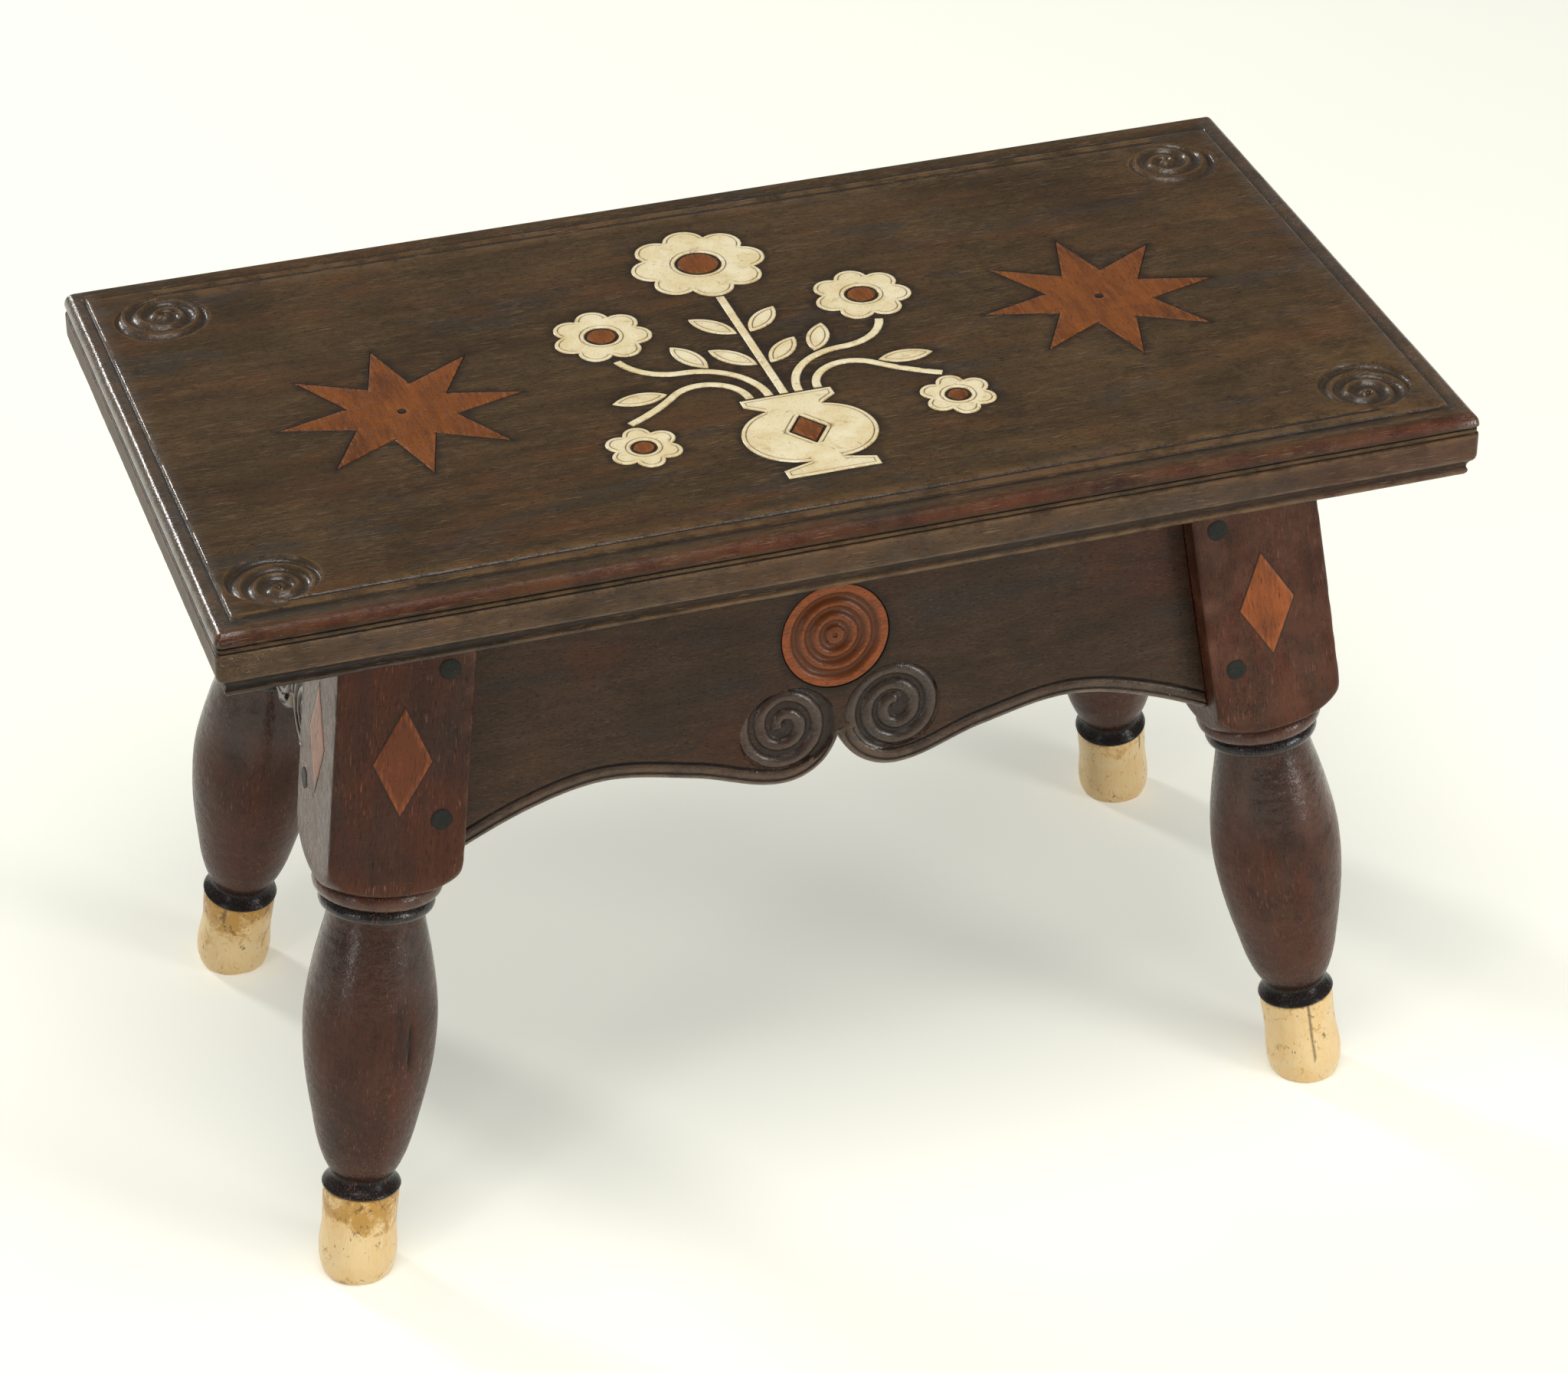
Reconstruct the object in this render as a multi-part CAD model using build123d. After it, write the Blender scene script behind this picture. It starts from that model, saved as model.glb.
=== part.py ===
from build123d import *
from math import atan2, cos, degrees, hypot, pi, radians, sin, tan
import os

# Footstool with splayed turned legs, leaning scalloped aprons and an inlaid top.
# Millimetres, +Z up. The origin is on the floor under the middle of the stool.
# X runs along the stool, the front is towards -Y.

# Driving dimensions
stool_height = 243.5
board_length = 376.0
board_depth = 205.0
board_thickness = 21.5
legs_from_board_end = 61.35
legs_from_board_side = 47.05
lean_lengthwise_degrees = 7.4
lean_crosswise_degrees = 7.0
leg_square = 40.3
apron_thickness = 14.0

# One overrun serves every cut
overrun = 5.0

# Moulded edge of the board, read downwards from the top
top_bead_height = 3.8
quirk_height = 0.9
quirk_depth = 1.0
fillet_height = 1.4
fillet_setback = 0.7
fascia_arris_radius = 1.6
lower_edge_height = 5.5
lower_bead_setback = 2.2
lower_bead_radius = 2.4
board_corner_radius = 2.2
groove_inset = 5.6
groove_width = 1.8
groove_depth = 0.9

# Carved dishes in the corners of the top
corner_dish_radius = 14.6
corner_dish_depth = 1.3
dish_middle_share = 0.75
corner_dish_from_end = 25.2
corner_dish_from_side = 25.0

# Foot and ankle, heights measured up the leg's leaning axis from the floor
foot_length = 29.0
foot_end_radius = 8.2
foot_base_radius = 11.9
foot_base_height = 7.4
foot_waist_radius = 11.3
foot_waist_height = 17.0
foot_top_radius = 11.6
foot_floor_allowance = 2.6
foot_tenon_radius = 6.0
foot_tenon_length = 17.0
foot_socket_clearance = 0.1
foot_socket_end_gap = 1.0
ankle_flare_radius = 11.85
ankle_flare_edge = 1.0
ankle_radius = 9.3
ankle_height = 33.6

# Barrel between ankle and rings, its places as shares of that length
barrel_low_radius = 16.4
barrel_low_share = 0.25
barrel_radius = 19.9
barrel_share = 0.572
barrel_high_radius = 17.3
barrel_high_share = 0.817
neck_radius = 13.9

# Block, shoulder and rings of a leg, in turn down its axis from the board
block_length = 79.0
shoulder_length = 12.3
shoulder_bulge_radius = 25.2
shoulder_bulge_share = 0.33
lower_ring_radius = 17.2
lower_ring_thickness = 4.6
upper_ring_radius = 19.2
upper_ring_thickness = 5.6
ring_quirk_depth = 1.6
ring_quirk_height = 0.6

# Apron joinery, places measured down the leg's axis from the board
apron_setback = 7.8
end_apron_setback = 9.0
tenon_thickness = 7.0
tenon_length = 16.5
tenon_below_board = 12.0
tenon_width = 61.0
mortise_clearance = 0.15
mortise_end_gap = 1.0
peg_radius = 3.1
peg_clearance = 0.05
peg_length = 26.0
peg_from_axis = 12.4
peg_from_tenon_top = 7.3
peg_from_tenon_bottom = 6.4

# Scalloped lower edge: depths measured down the leaning face from the board,
# places along it as shares of the way from the middle to the leg
scroll_radius = 18.4
scroll_depth = 61.9
scroll_spread_share = 0.957
arch_rise_share = 0.355
arch_rise_depth = 73.1
arch_crown_share = 0.565
arch_crown_depth = 68.6
arch_fall_share = 0.75
arch_fall_depth = 73.2
apron_end_depth = 86.3
end_scroll_radius = 14.0
end_scroll_depth = 66.6
end_arch_crown_share = 0.658
end_arch_crown_depth = 71.9
end_apron_end_depth = 77.6

# Carved groove: it follows the lower edge, then winds inward in half turns
carved_groove_width = 1.7
carved_groove_depth = 1.2
carved_bead_width = 3.0

# Inlaid roundel on the long aprons
roundel_radius = 16.6
roundel_thickness = 3.6
roundel_depth = 34.7
roundel_ring_count = 4
roundel_ring_depth = 0.9
roundel_boss_radius = 2.2

# Inlaid diamonds on the leg blocks
diamond_height = 34.3
diamond_width = 17.6
diamond_below_board = 47.9
diamond_thickness = 1.6

# Inlay in the top
inlay_clearance = 0.1
inlay_thickness = 1.6
star_tip_radius = 36.8
star_notch_radius = 16.4
star_point_count = 8
star_place_share = 0.578
star_pin_radius = 1.15
star_pin_clearance = 0.05
star_pin_length = 7.0

# Urn of flowers in the middle of the top, its places along Y from the board's middle
inlay_gap = 0.8
urn_low = -72.0
urn_top = -26.0
urn_foot_half_width = 14.0
urn_foot_height = 4.5
urn_waist_half_width = 4.5
urn_waist_height = 3.0
urn_belly_half_width = 20.0
urn_belly_y = -47.0
urn_neck_half_width = 8.5
urn_neck_y = -34.0
urn_lip_half_width = 14.0
urn_lip_height = 4.0
urn_lozenge_half_width = 5.0
urn_lozenge_half_height = 7.5
stem_width = 2.6
top_flower_y = 58.0
top_petal_reach = 14.5
top_petal_radius = 6.6
top_petal_count = 8
side_flower_x = 41.0
side_flower_y = 24.0
side_petal_reach = 10.0
side_petal_radius = 5.2
side_petal_count = 7
low_flower_x = 48.0
low_flower_y = -42.0
low_petal_reach = 7.2
low_petal_radius = 4.2
low_petal_count = 6
flower_eye_share = 0.44
side_stem_start_x = 4.6
side_stem_bend_x = 25.0
side_stem_bend_y = -4.5
low_stem_start_x = 10.5
low_stem_bend_x = 31.0
low_stem_bend_y = -16.5
leaf_length = 17.0
leaf_width = 7.0
leaf_turn_degrees = 42.0
top_leaf_shares = (0.3, 0.62)
side_leaf_shares = (0.45,)
low_leaf_shares = (0.58,)

# Glue blocks under the top
glue_block_square = 13.0
glue_block_length_share = 0.41
glue_block_place_share = 0.49
end_glue_block_length_share = 0.61

# Worked out from the sizes above
underside = stool_height - board_thickness
lean_x = tan(radians(lean_lengthwise_degrees))
lean_y = tan(radians(lean_crosswise_degrees))
leg_tops_apart_lengthwise = board_length - 2 * legs_from_board_end
leg_tops_apart_crosswise = board_depth - 2 * legs_from_board_side
star_from_middle = board_length / 2 * star_place_share
half_square = leg_square / 2
leg_length = underside * hypot(1, lean_x, lean_y)
tenon_top = leg_length - tenon_below_board
tenon_bottom = tenon_top - tenon_width
reach = board_length

# The front left leg's own frame: Z up its axis, X and Y towards its inner faces
leg_frame = Plane(
    origin=(
        -leg_tops_apart_lengthwise / 2 - underside * lean_x,
        -leg_tops_apart_crosswise / 2 - underside * lean_y,
        0,
    ),
    x_dir=(1 + lean_y ** 2, -lean_x * lean_y, -lean_x),
    z_dir=(lean_x, lean_y, 1),
)


def apron_frame(along, outward, lean, leg_tops_apart, setback):
    """Frame where an apron's outer face meets the board: X along it, Y up its slope."""
    out = leg_tops_apart / 2 + (half_square - setback) * hypot(1, lean)
    origin = outward * out + Vector(0, 0, underside)
    return Plane(origin=origin, x_dir=along, z_dir=outward + Vector(0, 0, lean))


front_frame = apron_frame(
    Vector(1, 0, 0), Vector(0, -1, 0), lean_y, leg_tops_apart_crosswise, apron_setback
)
left_frame = apron_frame(
    Vector(0, -1, 0), Vector(-1, 0, 0), lean_x, leg_tops_apart_lengthwise, end_apron_setback
)


def block(x_range, y_range, z_range):
    """Box between two limits on each axis."""
    sizes = [high - low for low, high in (x_range, y_range, z_range)]
    centre = [(high + low) / 2 for low, high in (x_range, y_range, z_range)]
    return Pos(*centre) * Box(*sizes)


def above_underside():
    """Everything above the underside of the top board, for cutting tops level."""
    return block((-reach, reach), (-reach, reach), (underside, underside + reach))


def below_floor():
    """Everything below the floor, for cutting the feet level."""
    return block((-reach, reach), (-reach, reach), (-reach, 0))


def to_right(shape):
    """Mirror image across the stool's middle, left to right."""
    return mirror(shape, about=Plane.YZ)


def to_back(shape):
    """Mirror image across the stool's middle, front to back."""
    return mirror(shape, about=Plane.XZ)


def four_ways(shape):
    """The front left piece and its three mirror images, by corner name."""
    return {
        "front_left": shape,
        "front_right": to_right(shape),
        "back_left": to_back(shape),
        "back_right": to_back(to_right(shape)),
    }


# Joinery, in the front left leg's frame

tenon_from_face = (apron_thickness - tenon_thickness) / 2


def tenon_box(setback, clearance, end_gap, across):
    """Tenon of one apron in the leg. across swaps the long apron's for the end apron's."""
    near = -half_square + setback + tenon_from_face
    thick = (near - clearance, near + tenon_thickness + clearance)
    deep = (half_square - tenon_length - end_gap, half_square)
    tall = (tenon_bottom - clearance, tenon_top + clearance)
    if across:
        return block(thick, deep, tall)
    return block(deep, thick, tall)


def peg_rods(radius, length, across):
    """The two pegs that pin one tenon, driven in from the leg's outer face."""
    rods = []
    for height in (tenon_bottom + peg_from_tenon_bottom, tenon_top - peg_from_tenon_top):
        rod = Cylinder(radius, length, align=(Align.CENTER, Align.CENTER, Align.MIN))
        if across:
            rods.append(Pos(-half_square, peg_from_axis, height) * Rot(0, 90, 0) * rod)
        else:
            rods.append(Pos(peg_from_axis, -half_square, height) * Rot(-90, 0, 0) * rod)
    return Compound(children=rods)


def diamond_tile(thickness, clearance, across):
    """Diamond let into an outer face of the leg block, flush with it."""
    wide = diamond_width / 2 + clearance
    tall = diamond_height / 2 + clearance * diamond_height / diamond_width
    face = make_face(Polyline((wide, 0), (0, tall), (-wide, 0), (0, -tall), close=True))
    middle = leg_length - diamond_below_board
    if across:
        side = Plane(origin=(-half_square, 0, middle), x_dir=(0, 1, 0), z_dir=(1, 0, 0))
    else:
        side = Plane(origin=(0, -half_square, middle), x_dir=(1, 0, 0), z_dir=(0, 1, 0))
    return side * extrude(face, thickness)


# Legs and feet

def leg_profile():
    """Half section of the turned blank, in the XZ plane, with the foot's tenon."""
    tenon_end = foot_length - foot_tenon_length
    flare_top = foot_length + ankle_flare_edge
    shoulder_height = leg_length - block_length
    upper_top = shoulder_height - shoulder_length
    upper_low = upper_top - upper_ring_thickness
    lower_top = upper_low - ring_quirk_height
    lower_low = lower_top - lower_ring_thickness
    barrel_length = lower_low - ankle_height
    lower_core = lower_ring_radius - ring_quirk_depth
    upper_core = upper_ring_radius - ring_quirk_depth
    corner = half_square * 2 ** 0.5 + overrun
    top = leg_length + overrun
    shoulder_corner = half_square * 2 ** 0.5
    outline = [
        Polyline(
            (0, tenon_end),
            (foot_tenon_radius, tenon_end),
            (foot_tenon_radius, foot_length),
            (ankle_flare_radius, foot_length),
            (ankle_flare_radius, flare_top),
        ),
        Spline(
            (ankle_flare_radius, flare_top),
            (ankle_radius, ankle_height),
            tangents=[(-1, 2), (-1, 2)],
        ),
        Spline(
            (ankle_radius, ankle_height),
            (barrel_low_radius, ankle_height + barrel_length * barrel_low_share),
            (barrel_radius, ankle_height + barrel_length * barrel_share),
            (barrel_high_radius, ankle_height + barrel_length * barrel_high_share),
            (neck_radius, lower_low),
        ),
        Polyline((neck_radius, lower_low), (lower_core, lower_low)),
        ThreePointArc(
            (lower_core, lower_low),
            (lower_ring_radius, lower_low + lower_ring_thickness / 2),
            (lower_core, lower_top),
        ),
        Polyline((lower_core, lower_top), (lower_core, upper_low), (upper_core, upper_low)),
        ThreePointArc(
            (upper_core, upper_low),
            (upper_ring_radius, upper_low + upper_ring_thickness / 2),
            (upper_core, upper_top),
        ),
        ThreePointArc(
            (upper_core, upper_top),
            (shoulder_bulge_radius, upper_top + shoulder_length * shoulder_bulge_share),
            (shoulder_corner, shoulder_height),
        ),
        Polyline(
            (shoulder_corner, shoulder_height),
            (corner, shoulder_height),
            (corner, top),
            (0, top),
            (0, tenon_end),
        ),
    ]
    return make_face(Plane.XZ * Wire(Curve() + outline))


def make_leg():
    """Front left leg: a square blank turned below its block, then jointed."""
    turned = revolve(leg_profile(), Axis.Z)
    blank = block(
        (-half_square, half_square), (-half_square, half_square), (0, stool_height + overrun)
    )
    leg = turned & blank
    for across, setback in ((False, apron_setback), (True, end_apron_setback)):
        leg -= tenon_box(setback, mortise_clearance, mortise_end_gap, across)
        leg -= peg_rods(peg_radius + peg_clearance, peg_length + mortise_end_gap, across)
        leg -= diamond_tile(diamond_thickness, inlay_clearance, across)
    return leg_frame * leg - above_underside()


def make_foot():
    """Front left bone foot: a waisted cap, bored for the leg's tenon, cut level."""
    low = -foot_floor_allowance
    section = [
        Polyline((0, low), (foot_end_radius, low)),
        Spline(
            (foot_end_radius, low),
            (foot_base_radius, foot_base_height),
            (foot_waist_radius, foot_waist_height),
            (foot_top_radius, foot_length),
            tangents=[(1, 0.35), (0, 1)],
        ),
        Polyline((foot_top_radius, foot_length), (0, foot_length), (0, low)),
    ]
    foot = revolve(make_face(Plane.XZ * Wire(Curve() + section)), Axis.Z)
    socket_depth = foot_tenon_length + foot_socket_end_gap
    socket = Cylinder(
        foot_tenon_radius + foot_socket_clearance,
        socket_depth,
        align=(Align.CENTER, Align.CENTER, Align.MAX),
    )
    foot -= Pos(0, 0, foot_length) * socket
    return leg_frame * foot - below_floor()


# Aprons

def scroll_foot(radius, depth):
    """Arc under the right scroll, from the cusp in the middle to its lowest point."""
    spread = radius * scroll_spread_share
    drop = (radius ** 2 - spread ** 2) ** 0.5
    return ThreePointArc(
        (0, -depth - drop),
        (spread - radius * sin(pi / 4), -depth - radius * cos(pi / 4)),
        (spread, -depth - radius),
    )


def long_apron_edge():
    """Right half of the long apron's lower edge, from the cusp to the leg."""
    leg_line = leg_tops_apart_lengthwise / 2
    foot = scroll_foot(scroll_radius, scroll_depth)
    crown = (leg_line * arch_crown_share, -arch_crown_depth)
    rise = Spline(
        foot @ 1,
        (leg_line * arch_rise_share, -arch_rise_depth),
        crown,
        tangents=[(1, 0), (1, 0)],
    )
    fall = Spline(
        crown,
        (leg_line * arch_fall_share, -arch_fall_depth),
        (leg_line, -apron_end_depth),
        tangents=[(1, 0), (2.4, -1)],
    )
    return [foot, rise, fall]


def end_apron_edge():
    """Right half of the end apron's lower edge, from the cusp to the leg."""
    leg_line = leg_tops_apart_crosswise / 2
    foot = scroll_foot(end_scroll_radius, end_scroll_depth)
    crown = (leg_line * end_arch_crown_share, -end_arch_crown_depth)
    rise = Spline(foot @ 1, crown, tangents=[(1, 0), (1, 0)])
    fall = Spline(crown, (leg_line, -end_apron_end_depth), tangents=[(1, 0), (1, -1)])
    return [foot, rise, fall]


def apron_panel(edge):
    """Apron before its ends are cut: outline from the half edge, then thickness."""
    start, end = edge[0] @ 0, edge[-1] @ 1
    closing = Polyline((end.X, end.Y), (end.X, overrun), (0, overrun), (start.X, start.Y))
    right = extrude(make_face(Wire(Curve() + edge + [closing])), -apron_thickness)
    return right + mirror(right, about=Plane.YZ)


def groove_section():
    """V section of the carved groove: X across it, Y out of the apron's face."""
    half = carved_groove_width / 2
    return make_face(Polyline((-half, 0), (half, 0), (0, -carved_groove_depth), close=True))


def edge_quirk(edge):
    """Groove that borders the bead on the lower edge, from the scroll to the leg."""
    inset = carved_bead_width + carved_groove_width / 2
    places = [(edge[1], 0), (edge[1], 0.5), (edge[1], 1), (edge[2], 0.5), (edge[2], 1)]
    points = []
    for line, share in places:
        heading = line % share
        points.append(line @ share + Vector(-heading.Y, heading.X) * inset)
    path = Spline(*points, tangents=[edge[1] % 0, edge[2] % 1])
    start = Plane(origin=points[0], x_dir=(0, 1, 0), z_dir=path % 0)
    return sweep(start * groove_section(), path=path)


def scroll_groove(radius, depth):
    """Carved groove of the right scroll, in half turns about two centres by turns."""
    pitch = carved_bead_width + carved_groove_width
    turn_radius = radius - carved_bead_width - carved_groove_width / 2
    half_turns = int(2 * (turn_radius - carved_groove_width) / pitch) + 1
    centre = radius * scroll_spread_share
    grooves = []
    for turn in range(half_turns):
        lower_half = turn % 2 == 0
        section = Plane.XZ * Pos(turn_radius, 0) * groove_section()
        half = revolve(section, Axis.Z, revolution_arc=180)
        spin = 180 if lower_half else 0
        grooves.append(Pos(centre, -depth, 0) * Rot(0, 0, spin) * half)
        turn_radius -= pitch / 2
        centre += -pitch / 2 if lower_half else pitch / 2
    return grooves


def roundel_seat(clearance):
    """Pocket for the roundel in a long apron's face."""
    hole = Cylinder(
        roundel_radius + clearance, roundel_thickness, align=(Align.CENTER, Align.CENTER, Align.MAX)
    )
    return Pos(0, -roundel_depth, 0) * hole


def make_long_apron():
    """Front apron with its tenons, carved grooves and roundel pocket."""
    edge = long_apron_edge()
    panel = apron_panel(edge)
    for groove in scroll_groove(scroll_radius, scroll_depth) + [edge_quirk(edge)]:
        panel -= groove
        panel -= mirror(groove, about=Plane.YZ)
    panel -= roundel_seat(inlay_clearance)
    leg_side = block((-reach, half_square), (-reach, reach), (-reach, reach))
    tenon = leg_frame * tenon_box(apron_setback, 0, 0, False)
    pegs = leg_frame * peg_rods(peg_radius + peg_clearance, peg_length, False)
    apron = front_frame * panel - leg_frame * leg_side - to_right(leg_frame * leg_side)
    apron = apron + tenon + to_right(tenon) - pegs - to_right(pegs)
    return apron - above_underside()


def make_end_apron():
    """Left end apron with its tenons and carved grooves."""
    edge = end_apron_edge()
    panel = apron_panel(edge)
    for groove in scroll_groove(end_scroll_radius, end_scroll_depth) + [edge_quirk(edge)]:
        panel -= groove
        panel -= mirror(groove, about=Plane.YZ)
    leg_side = block((-reach, reach), (-reach, half_square), (-reach, reach))
    tenon = leg_frame * tenon_box(end_apron_setback, 0, 0, True)
    pegs = leg_frame * peg_rods(peg_radius + peg_clearance, peg_length, True)
    apron = left_frame * panel - leg_frame * leg_side - to_back(leg_frame * leg_side)
    apron = apron + tenon + to_back(tenon) - pegs - to_back(pegs)
    return apron - above_underside()


def make_roundel():
    """Roundel on the front apron, turned with rings round a small boss."""
    face = extrude(Circle(roundel_radius), -roundel_thickness)
    pitch = (roundel_radius - roundel_boss_radius) / roundel_ring_count
    for ring in range(roundel_ring_count):
        inner = roundel_boss_radius + ring * pitch
        section = make_face(
            Polyline(
                (inner, 0),
                (inner + pitch / 2, 0),
                (inner + pitch / 4, -roundel_ring_depth),
                close=True,
            )
        )
        face -= revolve(Plane.XZ * section, Axis.Z)
    return front_frame * Pos(0, -roundel_depth, 0) * face


# Top board

def board_section(width):
    """Section across the board of a given width, both edges moulded, top at Z = 0."""
    half = width / 2
    quirk_top = -top_bead_height
    quirk_low = quirk_top - quirk_height
    fillet_low = quirk_low - fillet_height
    fascia_low = lower_edge_height - board_thickness
    fillet_edge = half - fillet_setback
    lower_edge = half - lower_bead_setback
    bead_inner = half - top_bead_height
    arc_out = sin(pi / 4)
    outline = [
        Line((0, 0), (bead_inner, 0)),
        ThreePointArc(
            (bead_inner, 0),
            (bead_inner + top_bead_height * arc_out, -top_bead_height * (1 - arc_out)),
            (half, quirk_top),
        ),
        Polyline(
            (half, quirk_top),
            (half - quirk_depth, quirk_top),
            (half - quirk_depth, quirk_low),
            (fillet_edge, quirk_low),
            (fillet_edge, fillet_low),
            (half, fillet_low),
            (half, fascia_low + fascia_arris_radius),
        ),
        ThreePointArc(
            (half, fascia_low + fascia_arris_radius),
            (
                half - fascia_arris_radius * (1 - arc_out),
                fascia_low + fascia_arris_radius * (1 - arc_out),
            ),
            (half - fascia_arris_radius, fascia_low),
        ),
        Polyline(
            (half - fascia_arris_radius, fascia_low),
            (lower_edge, fascia_low),
            (lower_edge, lower_bead_radius - board_thickness),
        ),
        ThreePointArc(
            (lower_edge, lower_bead_radius - board_thickness),
            (
                lower_edge - lower_bead_radius * (1 - arc_out),
                lower_bead_radius * (1 - arc_out) - board_thickness,
            ),
            (lower_edge - lower_bead_radius, -board_thickness),
        ),
        Polyline((lower_edge - lower_bead_radius, -board_thickness), (0, -board_thickness), (0, 0)),
    ]
    right = make_face(Wire(Curve() + outline))
    return right + mirror(right, about=Plane.YZ)


def edge_groove():
    """V groove that runs round the top, mitred at the corners."""
    long = board_length / 2 - groove_inset
    deep = board_depth / 2 - groove_inset
    half = groove_width / 2
    path = Polyline((-long, -deep), (long, -deep), (long, deep), (-long, deep), close=True)
    section = make_face(Polyline((half, 0), (-half, 0), (0, -groove_depth), close=True))
    start = Plane(origin=(-long, -deep, 0), x_dir=(0, 1, 0), z_dir=(1, 0, 0))
    return sweep(start * section, path=path, transition=Transition.RIGHT)


def corner_dish():
    """Shallow hollow cut at the front left corner of the top, turned from an arc."""
    bottom = (0, -corner_dish_depth)
    rim = (corner_dish_radius, 0)
    middle = (corner_dish_radius / 2, -corner_dish_depth * dish_middle_share)
    top = (corner_dish_radius, overrun)
    outline = [ThreePointArc(bottom, middle, rim), Polyline(rim, top, (0, overrun), bottom)]
    hollow = revolve(make_face(Plane.XZ * Wire(Curve() + outline)), Axis.Z)
    x = corner_dish_from_end - board_length / 2
    y = corner_dish_from_side - board_depth / 2
    return Pos(x, y, 0) * hollow


def star_face(clearance):
    """Eight-pointed star, its tips and notches in turn."""
    points = []
    for step in range(star_point_count * 2):
        angle = pi * step / star_point_count
        is_tip = step % 2 == 0
        length = star_tip_radius if is_tip else star_notch_radius
        length += clearance * star_tip_radius / star_notch_radius if is_tip else clearance
        points.append((length * sin(angle), length * cos(angle)))
    return make_face(Polyline(*points, close=True))


def star_pin(clearance):
    """Pin that marks the middle of a star."""
    return Cylinder(
        star_pin_radius + clearance, star_pin_length, align=(Align.CENTER, Align.CENTER, Align.MAX)
    )


# Outlines of the urn of flowers, in the plane of the top

def lozenge_face(margin):
    """Lozenge in the belly of the urn."""
    wide = urn_lozenge_half_width + margin
    tall = urn_lozenge_half_height + margin
    outline = Polyline((wide, 0), (0, tall), (-wide, 0), (0, -tall), close=True)
    return Pos(0, urn_belly_y) * make_face(outline)


def urn_face():
    """Urn with foot, waist, belly, neck and lip, open for its lozenge."""
    waist = urn_low + urn_foot_height + urn_waist_height
    outline = [
        Polyline(
            (0, urn_low),
            (urn_foot_half_width, urn_low),
            (urn_foot_half_width, urn_low + urn_foot_height),
            (urn_waist_half_width, waist),
        ),
        ThreePointArc(
            (urn_waist_half_width, waist),
            (urn_belly_half_width, urn_belly_y),
            (urn_neck_half_width, urn_neck_y),
        ),
        Polyline(
            (urn_neck_half_width, urn_neck_y),
            (urn_lip_half_width, urn_top - urn_lip_height),
            (urn_lip_half_width, urn_top),
            (0, urn_top),
            (0, urn_low),
        ),
    ]
    right = make_face(Wire(Curve() + outline))
    return right + mirror(right, about=Plane.YZ) - lozenge_face(inlay_gap)


def flower_face(x, y, petal_reach, petal_radius, petal_count):
    """Round flower: petals in a ring, open in the middle."""
    flower = Circle(petal_reach)
    for petal in range(petal_count):
        angle = 2 * pi * petal / petal_count + pi / 2
        flower += Pos(petal_reach * cos(angle), petal_reach * sin(angle)) * Circle(petal_radius)
    flower -= Circle(petal_reach * flower_eye_share + inlay_gap)
    return Pos(x, y) * flower


def eye_face(x, y, petal_reach):
    """Round chip in the middle of a flower."""
    return Pos(x, y) * Circle(petal_reach * flower_eye_share)


def stem_line(start, bend, end):
    """Stem that leaves the urn upright: two arcs that run on into each other."""
    first = TangentArc(start, bend, tangent=(0, 1))
    return [first, TangentArc(bend, end, tangent=first % 1)]


def stem_face(lines):
    """Strip of even width along the lines."""
    strip = Sketch()
    for line in lines:
        strip += make_face(trace(line, line_width=stem_width).edges())
    return strip


def leaf_face(lines, place_share, side):
    """Pointed leaf that springs from a stem, to its left or right."""
    stem = Wire(Curve() + lines)
    start = stem @ place_share
    heading = stem % place_share
    away = Vector(-heading.Y, heading.X) * side
    foot = start + away * (stem_width / 2 + inlay_gap)
    half = leaf_width / 2
    outline = [
        ThreePointArc((0, 0), (leaf_length / 2, half), (leaf_length, 0)),
        ThreePointArc((leaf_length, 0), (leaf_length / 2, -half), (0, 0)),
    ]
    turn = degrees(atan2(heading.Y, heading.X)) + side * leaf_turn_degrees
    return Pos(foot.X, foot.Y) * Rot(0, 0, turn) * make_face(Wire(Curve() + outline))


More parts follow.
